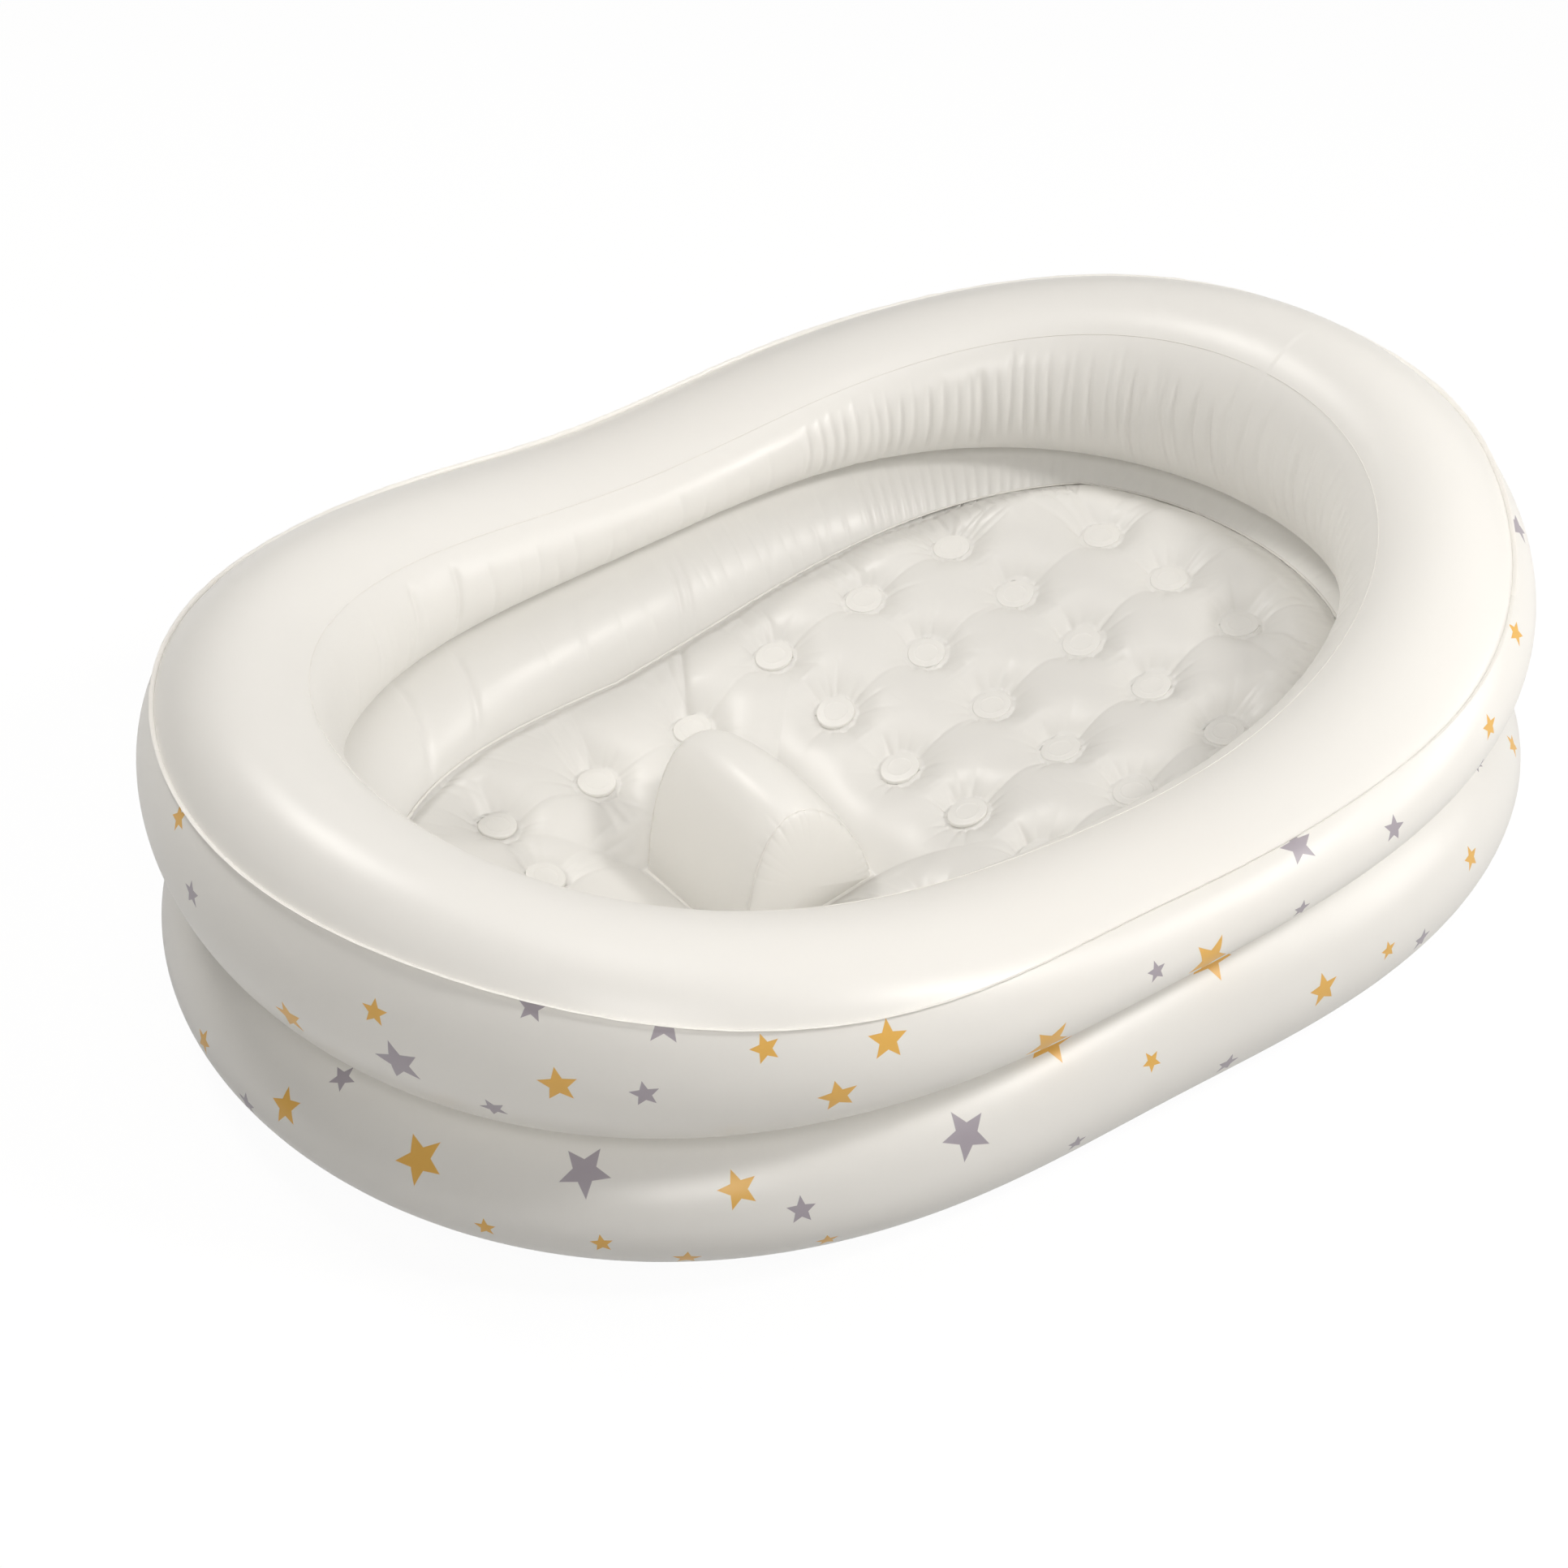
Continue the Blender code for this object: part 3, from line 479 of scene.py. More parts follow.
@dataclass
class AirRing:
    """One of the two stacked air rings, with pleats on its inner wall and a print outside."""

    upper: bool
    pleats: tuple[PleatZone, ...]
    folds: tuple[Fold, ...]
    seed: int
    around: int = 1400
    joint_angles: tuple[float, ...] = (1.5,)
    # The step where the sheet's ends are joined: its height, its reach, its run down the section.
    joint_step: float = 0.0006
    joint_fade: float = 0.012
    joint_band: tuple[float, float] = (95.0, 262.0)
    joint_ramp: float = 8.0
    # How far a star's faces reach from its middle, in star radii, and the place given to bare skin.
    star_room: float = 1.9
    off_print: float = 9.0

    @property
    def node(self) -> str:
        """The frame's node that this ring stands for."""
        return "upper_ring" if self.upper else "lower_ring"

    def tilts(self, angle: Array) -> Array:
        """Section angles of the ring's steps.

        Args:
            angle: angles round the plan's pole.

        Returns:
            Angles in radians, by step round and step in the section.
        """
        fixed = np.ones_like(angle)
        under = [FLAT_UNDER[0] * fixed, (FLAT_UNDER[1] * fixed, 3)]
        if self.upper:
            outer, inner = WELDS["outer"].tilt(angle), WELDS["inner"].tilt(angle)
            return spread([(outer, 0), (inner, 14), (under[0], 28), under[1], (360.0 + outer, 44)])
        over = [(FLAT_OVER[0] * fixed, 0), (FLAT_OVER[1] * fixed, 3)]
        return spread([*over, (under[0], 30), under[1], ((360.0 + FLAT_OVER[0]) * fixed, 52)])

    def creases(self, angle: Array, tilt: Array) -> Array:
        """How far the skin is drawn in by its pleats.

        Args:
            angle: angles round the plan's pole.
            tilt: section angles in radians.

        Returns:
            A depth in metres for each point.
        """
        rng = np.random.default_rng(self.seed)
        degrees = np.degrees(tilt)
        inside = OUTLINE.skin(self.upper)(angle, np.full_like(angle, math.pi))
        steps = np.linalg.norm(np.diff(np.vstack([inside, inside[:1]]), axis=0), axis=1)
        run = np.concatenate([[0.0], np.cumsum(steps)[:-1]])
        total = steps.sum()
        depth = np.zeros(tilt.shape)

        def place_at(turn: Array | float) -> Array:
            """Distance along the inner wall to an angle round the plan's pole."""
            return np.interp(turn % math.tau, angle, run)

        for zone in self.pleats:
            for side in (1.0, -1.0):
                start, end = place_at(math.radians(zone.first)), place_at(math.radians(zone.last))
                if end < start:
                    start -= total
                place = start
                while place < end:
                    centre = place if side > 0 else total - place
                    deep = zone.depth * rng.uniform(1.0 - 1.6 * zone.spread, 1.0)
                    wide = zone.width * rng.uniform(1.0 - zone.spread, 1.0 + zone.spread)
                    high = zone.top + rng.uniform(0.0, 0.5 * zone.spread) * (zone.bottom - zone.top)
                    low = zone.bottom - rng.uniform(0.0, zone.spread) * (zone.bottom - zone.top)
                    slant = rng.uniform(-0.012, 0.012) * zone.spread
                    share = (degrees - high) / (low - high)
                    away = wrapped(run[:, None] - centre - slant * (share - 0.5), total)
                    fade = ease(share * 4.0) * ease((1.0 - share) * 3.0)
                    depth += deep * fade / (1.0 + (away / wide) ** 2) ** 2
                    place += zone.pitch * rng.uniform(1.0 - zone.spread, 1.0 + zone.spread)
        for fold in self.folds:
            for side in (1.0, -1.0):
                share = (degrees - fold.top) / (fold.bottom - fold.top)
                bend = fold.first + (fold.last - fold.first) * np.clip(share, 0.0, 1.0) ** 1.5
                away = wrapped(run[:, None] - place_at(np.radians(bend)) * side, total)
                fade = ease(share * 5.0) * ease((1.0 - share) * 4.0)
                depth += fold.depth * fade / (1.0 + (away / fold.width) ** 2) ** 1.5
        for degrees_round in self.joint_angles:
            away = wrapped(run[:, None] - place_at(math.radians(degrees_round)), total)
            top, bottom = self.joint_band
            band = ease((degrees - top) / self.joint_ramp) * ease((bottom - degrees) / self.joint_ramp)
            depth -= self.joint_step * np.exp(-np.abs(away) / self.joint_fade) * (away > 0.0) * band
        return depth

    def build(self) -> bpy.types.Object:
        """Makes the ring's skin with its pleats and its print.

        Returns:
            The finished piece.
        """
        angle = math.tau * np.arange(self.around) / self.around
        tilt = self.tilts(angle)
        skin = OUTLINE.skin(self.upper)
        grid = skin(angle[:, None], tilt)
        normals = grid_normals(grid, grid.mean(axis=1, keepdims=True))
        grid = grid - normals * self.creases(angle, tilt)[..., None]
        for valve in ring_valves():
            if (valve.name == "rim") == self.upper:
                grid = valve.seat_in(grid)
        bm, step, number = torus_grid(self.around, tilt.shape[1])
        points = grid[step, number]
        piece = finish_mesh(bm, self.node + "_skin", points)
        tilted = tilt[step, number]
        low, high = math.radians(FLAT_UNDER[1]), math.radians(360.0 + FLAT_OVER[0])
        if self.upper:
            high = math.tau + np.radians(WELDS["outer"].tilt(angle))[step]
        self.print_stars(piece, points, (tilted > low) & (tilted < high + 1e-6) | (number == 0))
        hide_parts(self.node)
        PRINTED_SHEET.dress(piece)
        return place_piece(piece, "root")

    def print_stars(self, piece: bpy.types.Object, points: Array, printable: Array) -> None:
        """Gives the sheet round each star its own print coordinates.

        Args:
            piece: the ring's skin.
            points: places of its vertices.
            printable: whether each vertex lies on the printed sheet.
        """
        mesh = piece.data
        corners = np.empty(len(mesh.loops), dtype=np.int32)
        mesh.loops.foreach_get("vertex_index", corners)
        quads = corners.reshape(-1, 4)
        middles = points[quads].mean(axis=1)
        bare = ~printable[quads].all(axis=1)
        coords = np.full((len(quads), 4, 2), self.off_print, dtype=np.float32)
        tone = np.zeros(len(quads), dtype=np.float32)
        nearest = np.full(len(quads), np.inf)
        for star in star_layout():
            spot, around, up = star.spot()
            reach = star.size.value
            away = np.linalg.norm(middles - spot, axis=1) / reach
            taken = (away < self.star_room) & (away < nearest) & ~bare
            offset = (points[quads[taken]] - spot) / reach
            across, rise = offset @ around, offset @ up
            turn = math.radians(star.turn)
            coords[taken, :, 0] = across * math.cos(turn) - rise * math.sin(turn)
            coords[taken, :, 1] = across * math.sin(turn) + rise * math.cos(turn)
            tone[taken] = star.tone.value
            nearest[taken] = away[taken]
        layer = mesh.uv_layers.new(name="print")
        layer.data.foreach_set("uv", coords.ravel())
        ink = mesh.attributes.new("ink", "FLOAT", "FACE")
        ink.data.foreach_set("value", tone)


@dataclass(frozen=True)
class WeldLip:
    """The trimmed edge of two sheets welded together, which stands off a ring's skin."""

    name: str
    node: str
    upper: bool
    angles: tuple[float, ...]
    height: float
    thickness: float
    droop: float
    seed: int
    around: int = 1320
    section: int = 10

    def tilt(self, angle: Array) -> Array:
        """Where the weld lies on the ring's section, in degrees."""
        return waves(angle, self.angles) * np.ones_like(angle)

    def build(self) -> bpy.types.Object:
        """Makes the lip, slightly wavy along its edge.

        Returns:
            The finished piece.
        """
        rng = np.random.default_rng(self.seed)
        angle = math.tau * np.arange(self.around) / self.around
        skin = OUTLINE.skin(self.upper)
        tilt = np.radians(self.tilt(angle))
        foot = skin(angle, tilt)
        along = skin(angle, tilt + 0.01) - skin(angle, tilt - 0.01)
        along /= np.linalg.norm(along, axis=-1, keepdims=True)
        _, plan = OUTLINE.centre(angle)
        around = np.stack([-plan[:, 1], plan[:, 0], np.zeros(len(angle))], -1)
        normal = np.cross(around, along)
        normal *= np.sign((normal * (foot - skin(angle, tilt + math.pi))).sum(-1, keepdims=True))
        orders = rng.integers(40, 170, 9)
        ripple = sum(np.sin(order * angle + rng.uniform(0.0, 6.28)) for order in orders) / 9.0
        turn = math.tau * np.arange(self.section) / self.section
        height = self.height * (1.0 + 0.10 * ripple)[:, None]
        rise = height * (1.0 + np.cos(turn)) / 2.0
        side = self.thickness / 2.0 * np.sin(turn) - self.droop * (rise / self.height) ** 2
        side = side + 0.12 * self.height * ripple[:, None] * (rise / self.height)
        grid = foot[:, None] + normal[:, None] * rise[..., None] + along[:, None] * side[..., None]
        bm, step, number = torus_grid(self.around, self.section)
        piece = finish_mesh(bm, self.name, grid[step, number], crease=50.0)
        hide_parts(self.node)
        WELD_EDGE.dress(piece)
        return place_piece(piece, "root")


OUTER_WELD = (45.2, 3.7, -2.8, 0.8, 3.2, -1.6, -2.2, -0.5, -1.9)
INNER_WELD = (134.0, -2.0, 2.0)
WELDS = {
    "outer": WeldLip("rim_outer_weld", "rim_outer_seam", True, OUTER_WELD, 0.0032, 0.0009, 0.0006, 11),
    "inner": WeldLip("rim_inner_weld", "rim_inner_seam", True, INNER_WELD, 0.0004, 0.0005, 0.0, 12),
    "base": WeldLip("base_weld", "base_seam", False, (-66.0,), 0.0025, 0.0008, 0.0, 13),
}


def place_piece(piece: bpy.types.Object, body: str) -> bpy.types.Object:
    """Hangs a finished piece on a body.

    Args:
        piece: the finished piece.
        body: the body that it moves with.

    Returns:
        The same piece.
    """
    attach(piece, body)
    LOG.info("%s: %d faces on %s", piece.name, len(piece.data.polygons), body)
    return piece


@dataclass(frozen=True)
class FloorPlan:
    """Heights of the tufted air floor."""

    edge_height: float = 0.052
    head_height: float = 0.103
    fold_x: float = -0.055
    slope: float = 0.143
    tuft_heights: tuple[tuple[float, float, float], ...] = (
        (-0.270, 0.036, 0.040),
        (-0.190, 0.012, 0.034),
        (-0.114, 0.012, 0.036),
        (-0.038, 0.026, 0.045),
        (0.037, 0.052, 0.065),
        (0.113, 0.068, 0.080),
        (0.188, 0.086, 0.092),
        (0.264, 0.108, 0.107),
        (0.340, 0.115, 0.112),
    )
    middle_room: float = 0.185
    side_room: float = 0.040
    pitch_x: float = 0.0755
    pitch_y: float = 0.0672
    first_x: float = -0.265
    columns: int = 8
    rows: tuple[int, ...] = (-2, -1, 0, 1, 2)
    pillow: float = 0.016
    wall_gap: float = 0.0009

    def edge_at(self, x: Array) -> Array:
        """Height of the floor's edge at a place along the tub."""
        climb = self.slope * np.maximum(0.0, x - self.fold_x)
        return np.minimum(self.head_height, self.edge_height + climb)

    def edge(self, angle: Array) -> Array:
        """The floor's edge on the lower ring's inner wall.

        Args:
            angle: angles round the plan's pole.

        Returns:
            Points of the edge.
        """
        place = OUTLINE.wall(angle, np.full_like(angle, math.pi))
        middle = waves(angle, OUTLINE.wall_half_height)
        for _ in range(5):
            rise = self.edge_at(place[..., 0]) / middle - 1.0
            place = OUTLINE.wall(angle, math.pi - np.arcsin(np.clip(rise, 0.0, 1.0)))
        place[..., 2] = self.edge_at(place[..., 0])
        return place

    def room(self, x: Array, y: Array) -> Array:
        """How far inside the floor's edge each point lies."""
        stations, stride, batch = 721, 4, 20000
        angle = np.linspace(-math.pi, math.pi, stations)[:-1]
        edge = self.edge(angle)
        _, normal = OUTLINE.centre(angle)
        near = np.zeros(len(x), dtype=int)
        for start in range(0, len(x), batch):
            run = slice(start, start + batch)
            across, along = x[run, None] - edge[None, ::stride, 0], y[run, None] - edge[None, ::stride, 1]
            near[run] = (across**2 + along**2).argmin(axis=1) * stride
        return ((edge[near, :2] - np.stack([x, y], -1)) * normal[near]).sum(-1)

    def weld_height(self, x: Array, room: Array) -> Array:
        """Height of a tuft's weld.

        Args:
            x: place along the tub.
            room: distance inside the floor's edge.

        Returns:
            The height at each point.
        """
        stations = np.array(self.tuft_heights)
        middle = np.interp(x, stations[:, 0], stations[:, 1])
        side = np.interp(x, stations[:, 0], stations[:, 2])
        share = (self.middle_room - room) / (self.middle_room - self.side_room)
        return middle + (side - middle) * ease(share)


@dataclass(frozen=True)
class HornPlan:
    """Size and place of the saddle horn."""

    x: float = -0.0753
    half_length: float = 0.0485
    lean: float = -0.0125
    lean_power: float = 1.65
    height: float = 0.0847
    round_power: float = 1.36
    half_width: float = 0.051
    pad_height: float = 0.0185
    pad_slope: float = 0.152

    def pad(self, x: Array | float) -> Array | float:
        """Height of the sloping pad under the horn."""
        return self.pad_height + self.pad_slope * (x - self.x)

    def arch(self, turn: Array, grow: Array | float = 0.0) -> tuple[Array, Array]:
        """The horn's arch, from its head side over its top to its foot side.

        Args:
            turn: angles from 0 to half a turn.
            grow: how far outside the plain arch.

        Returns:
            X and Z of its points.
        """
        rise = np.maximum(0.0, np.sin(turn))
        foot = self.x + (self.half_length + grow) * np.cos(turn)
        z = self.pad(foot) + GAP + (self.height + grow) * rise**self.round_power
        return foot + self.lean * rise**self.lean_power, z

    def room(self, x: Array, y: Array) -> Array:
        """How far outside the horn's foot each point lies."""
        return np.maximum(np.abs(x - self.x) - self.half_length, np.abs(y) - self.half_width)


FLOOR = FloorPlan()
HORN = HornPlan()
FLOOR_VALVE_AT = (-0.112, -0.128, 0.044)
DRAIN_AT = (-0.205, -0.045, 0.022)


@dataclass
class AirFloor:
    """The tufted air floor: welded discs, the pillows between them and the gathers at its edge."""

    disc: float = 0.0124
    snap: float = 0.0010
    steps: int = 450
    seed: int = 31
    foot_draw: float = 0.91
    # Room that a tuft's middle needs from the fittings, the wall and the horn.
    fitting_room: float = 0.035
    wall_room: float = 0.034
    horn_room: float = 0.030
    # The dip round a disc: its start inside the disc's edge, its reach and its power.
    dip_start: float = 0.0003
    dip_reach: float = 0.0180
    dip_power: float = 1.08
    # A tuft is found at an expected place when it lies closer than this.
    same_tuft: float = 0.016
    # The climb from the edge to the pillows' crown, and the roll of air along the wall.
    climb_start: float = 0.003
    climb: float = 0.042
    roll: float = 0.006
    roll_rise: float = 0.012
    roll_fall: float = 0.045
    # The sheet's unevenness: its waves, the height of each and the shortest and longest.
    slack_waves: int = 9
    slack_height: float = 0.00012
    slack_lengths: tuple[float, float] = (0.020, 0.050)
    # The level seats round the horn and the fittings, and the soft slopes beyond them.
    horn_seat: float = 0.0032
    horn_slope: float = 0.0240
    fitting_seat: float = 0.002
    fitting_slope: float = 0.010
    # The bores: the width over which the skin turns down, and the floor valve's depth.
    bore_lip: float = 0.0022
    valve_depth: float = 0.0270
    tufts: list[tuple[float, float]] = field(default_factory=list)

    def find_tufts(self) -> None:
        """Lists the tufts that the horn, the fittings and the wall leave room for."""
        for column in range(FLOOR.columns):
            for row in FLOOR.rows:
                x, y = FLOOR.first_x + column * FLOOR.pitch_x, row * FLOOR.pitch_y
                if x < 0.0 and abs(row) == 2:
                    y *= self.foot_draw
                fittings = (FLOOR_VALVE_AT, DRAIN_AT)
                clear = all(math.dist((x, y), at[:2]) > self.fitting_room for at in fittings)
                inside = FLOOR.room(np.array([x]), np.array([y]))[0] > self.wall_room
                if clear and inside and HORN.room(np.array([x]), np.array([y]))[0] > self.horn_room:
                    self.tufts.append((x, y))

    def dip(self, x: Array, y: Array) -> Array:
        """How far each point is drawn down to the welds, as a share of a pillow's height."""
        left = np.ones_like(x)
        for tx, ty in self.tufts:
            away = np.maximum(0.0, np.hypot(x - tx, y - ty) - self.disc + self.dip_start) / self.dip_reach
            left *= 1.0 - np.exp(-(away**self.dip_power))
        return 1.0 - left

    def crease(
        self,
        x: Array,
        y: Array,
        start: tuple[float, float],
        end: tuple[float, float],
        width: float,
        depth: float,
        fade: float,
        bow: float = 0.0,
        power: float = 1.0,
    ) -> Array:
        """One crease between two points.

        Args:
            x: places along the tub.
            y: places across it.
            start: where the crease is deepest.
            end: where it dies out.
            width: how far off its line it has faded to a third.
            depth: its depth at the start.
            fade: share of the depth that is left at its end.
            bow: how far its middle bends sideways.
            power: 1 for a sharp valley and 2 for a round one.

        Returns:
            The depth at each point.
        """
        run = np.array(end) - np.array(start)
        length = float(np.hypot(*run))
        unit = run / length
        from_middle = np.hypot(x - start[0] - run[0] / 2.0, y - start[1] - run[1] / 2.0)
        near = from_middle < length / 2.0 + 6.0 * width
        px, py = x[near] - start[0], y[near] - start[1]
        along = (px * unit[0] + py * unit[1]) / length
        away = py * unit[0] - px * unit[1] - bow * 4.0 * along * (1.0 - along)
        shape = ease(along * 9.0 + 0.6) * ease((1.0 - along) * 6.0 + 0.4)
        strength = depth * (fade + (1.0 - fade) * (1.0 - np.clip(along, 0.0, 1.0)))
        result = np.zeros_like(x)
        soft = np.sqrt(away**2 + 0.0005**2) if power == 1.0 else np.abs(away)
        result[near] = strength * shape * np.exp(-((soft / width) ** power))
        return result

    def creases(self, x: Array, y: Array) -> Array:
        """All the creases that run from tuft to tuft, into the pillows and up to the wall.

        Args:
            x: places along the tub.
            y: places across it.

        Returns:
            The depth at each point.
        """
        rng = np.random.default_rng(self.seed)
        depth = np.zeros_like(x)
        for tx, ty in self.tufts:
            expected = (tx + FLOOR.pitch_x, ty)
            ahead = min(self.tufts, key=lambda tuft: math.dist(tuft, expected))
            if math.dist(ahead, expected) < self.same_tuft:
                start, end = (tx + self.disc * 0.85, ty), (ahead[0] - self.disc * 0.85, ahead[1])
                bow = rng.uniform(-0.004, 0.002)
                deep = rng.uniform(0.6, 1.0)
                depth += self.crease(x, y, start, end, 0.0085, 0.0036 * deep, 0.55, bow)
                depth += self.crease(x, y, start, end, 0.0016, 0.0016 * deep, 0.15, bow)
            else:
                depth += self.wall_folds(x, y, (tx, ty), (tx + 0.05, ty), rng)
            for side in (-1.0, 1.0):
                start = (tx, ty + side * self.disc * 0.8)
                beside = min(math.dist(t, (tx, ty + side * FLOOR.pitch_y)) for t in self.tufts)
                from_horn = HORN.room(np.array([tx]), np.array([ty + side * 0.04]))[0]
                if beside < self.same_tuft or from_horn < 0.02:
                    end = (tx + rng.uniform(-0.004, 0.004), ty + side * rng.uniform(0.030, 0.038))
                    depth += self.crease(x, y, start, end, 0.0080, 0.0026, 0.2, power=2.0)
                    for offset in (-0.0042, 0.0038):
                        first = (start[0] + offset, start[1])
                        last_x = first[0] + offset * 0.7 + rng.uniform(-0.002, 0.002)
                        last = (last_x, ty + side * rng.uniform(0.027, 0.036))
                        depth += self.crease(x, y, first, last, 0.0017, rng.uniform(0.0014, 0.0026), 0.15)
                else:
                    depth += self.wall_folds(x, y, (tx, ty), (tx, ty + side * 0.05), rng)
            depth += self.puckers(x, y, tx, ty, rng)
        for side in (-1.0, 1.0):
            start, end = (-0.0345, side * 0.1335), (0.0035, side * 0.1950)
            depth += self.crease(x, y, start, end, 0.0022, 0.0034, 1.0)
        return depth

    def wall_folds(
        self,
        x: Array,
        y: Array,
        tuft: tuple[float, float],
        toward: tuple[float, float],
        rng: np.random.Generator,
    ) -> Array:
        """Four folds that spread from an outer tuft to the wall.

        Args:
            x: places along the tub.
            y: places across it.
            tuft: the tuft's place.
            toward: a place towards the wall.
            rng: source of the folds' irregular lie.

        Returns:
            The depth at each point.
        """
        out = np.array(toward) - np.array(tuft)
        out /= np.hypot(*out)
        side = np.array([-out[1], out[0]])
        room = FLOOR.room(np.array([tuft[0]]), np.array([tuft[1]]))[0]
        if room > 0.12:
            return np.zeros_like(x)
        depth = np.zeros_like(x)
        for lean in (-1.0, -0.35, 0.4, 1.0):
            start = np.array(tuft) + out * self.disc * 0.75 + side * lean * self.disc * 0.6
            end = np.array(tuft) + out * (room - 0.002) * rng.uniform(0.7, 1.0)
            end = end + side * lean * rng.uniform(0.010, 0.020)
            bow = lean * rng.uniform(-0.004, 0.002)
            width = rng.uniform(0.0022, 0.0055)
            deep = rng.uniform(0.0016, 0.0034)
            depth += self.crease(x, y, tuple(start), tuple(end), width, deep, 0.5, bow)
        return depth

    def puckers(self, x: Array, y: Array, tx: float, ty: float, rng: np.random.Generator) -> Array:
        """Short folds that run out from one tuft all round.

        Args:
            x: places along the tub.
            y: places across it.
            tx: the tuft's place along the tub.
            ty: its place across it.
            rng: source of the folds' irregular spacing.

        Returns:
            The depth at each point.
        """
        near = np.hypot(x - tx, y - ty) < 0.055
        away = np.hypot(x[near] - tx, y[near] - ty)
        turn = np.arctan2(y[near] - ty, x[near] - tx)
        total = np.zeros(len(away))
        count = int(rng.integers(11, 17))
        for number in range(count):
            spoke = math.tau * (number + rng.uniform(-0.3, 0.3)) / count
            reach = rng.uniform(0.008, 0.020)
            across = np.abs(wrapped(turn - spoke)) * away
            out = away - self.disc
            deep = rng.uniform(0.0004, 0.0017)
            wide = 0.0015 + 0.05 * np.maximum(0.0, out)
            fade = ease(out / 0.003) * np.exp(-((out / reach) ** 2))
            total += deep * fade / (1.0 + (across / wide) ** 2) ** 1.5
        depth = np.zeros_like(x)
        depth[near] = total
        return depth

    def gathers(self, angle: Array, room: Array) -> Array:
        """Fine gathers along the weld at the wall.

        Args:
            angle: angles round the plan's pole.
            room: distance inside the floor's edge.

        Returns:
            The depth at each point.
        """
        rng = np.random.default_rng(self.seed + 1)
        near = room < 0.05
        turn, inside = angle[near], np.maximum(0.0, room[near])
        total = np.zeros(len(turn))
        place = -math.pi
        while place < math.pi:
            reach = rng.uniform(0.005, 0.016)
            deep = rng.uniform(0.0003, 0.0014)
            width = rng.uniform(0.0013, 0.0022) / 0.27
            away = wrapped(turn - place)
            total += deep * np.exp(-inside / reach) / (1.0 + (away / width) ** 2) ** 1.5
            place += rng.uniform(0.018, 0.045)
        depth = np.zeros_like(angle)
        depth[near] = total
        return depth

    def slack(self, x: Array, y: Array) -> Array:
        """Gentle unevenness of the blown-up sheet."""
        rng = np.random.default_rng(self.seed + 2)
        total = np.zeros_like(x)
        for _ in range(self.slack_waves):
            length = rng.uniform(*self.slack_lengths)
            turn, start = rng.uniform(0.0, math.pi), rng.uniform(0.0, 6.28)
            total += np.sin(math.tau * (x * math.cos(turn) + y * math.sin(turn)) / length + start)
        return self.slack_height * total

    def fittings(self) -> list[tuple[tuple[float, float, float], float, float, float]]:
        """Place of the floor valve and of the drain, each with its flange's reach, its bore and its foot."""
        valve_foot = FLOOR_VALVE_AT[2] - self.valve_depth
        return [(FLOOR_VALVE_AT, 0.0155, 0.0100, valve_foot), (DRAIN_AT, 0.0195, 0.0135, SHEET + GAP)]

    def height(self, x: Array, y: Array, angle: Array) -> Array:
        """Top of the air floor.

        Args:
            x: places along the tub.
            y: places across it.
            angle: angles round the plan's pole.

        Returns:
            The height at each point.
        """
        room = FLOOR.room(x, y)
        edge = FLOOR.edge_at(x)
        crown = FLOOR.weld_height(x, room) + FLOOR.pillow
        rise = ease((room - self.climb_start) / self.climb)
        roll = self.roll * ease(room / self.roll_rise) * ease(1.0 - room / self.roll_fall)
        top = edge + (crown - edge) * rise + roll
        dip = self.dip(x, y)
        loose = ease(1.0 - dip * 1.2)
        top = top - (FLOOR.pillow + 0.001) * dip + self.slack(x, y) * loose
        away = HORN.room(x, y)
        soft = np.exp(-np.maximum(0.0, away - self.horn_seat) / self.horn_slope)
        top = np.where(away < self.horn_seat, HORN.pad(x), top * (1.0 - soft) + HORN.pad(x) * soft)
        seated = (away < self.horn_seat).astype(float)
        for at, flange, _, _ in self.fittings():
            gap = np.hypot(x - at[0], y - at[1]) - flange
            soft = np.exp(-np.maximum(0.0, gap - self.fitting_seat) / self.fitting_slope)
            top = np.where(gap < self.fitting_seat, at[2], top * (1.0 - soft) + at[2] * soft)
            seated = np.maximum(seated, (gap < self.fitting_seat).astype(float))
        clear = ease((away - 0.004) / 0.012)
        folds = self.creases(x, y) * ease((room - 0.001) / 0.006) * clear + self.gathers(angle, room)
        on_disc = np.zeros_like(x)
        for tx, ty in self.tufts:
            inside = self.disc + 0.0030 - np.hypot(x - tx, y - ty)
            on_disc = np.maximum(on_disc, ease(inside / 0.0024))
        top = top - folds * (1.0 - seated) * (1.0 - on_disc)
        for at, _, bore, foot in self.fittings():
            gap = np.hypot(x - at[0], y - at[1])
            drawn = np.clip((bore + self.bore_lip - gap) / self.bore_lip, 0.0, 1.0)
            top = top + (foot - top) * drawn
        return top

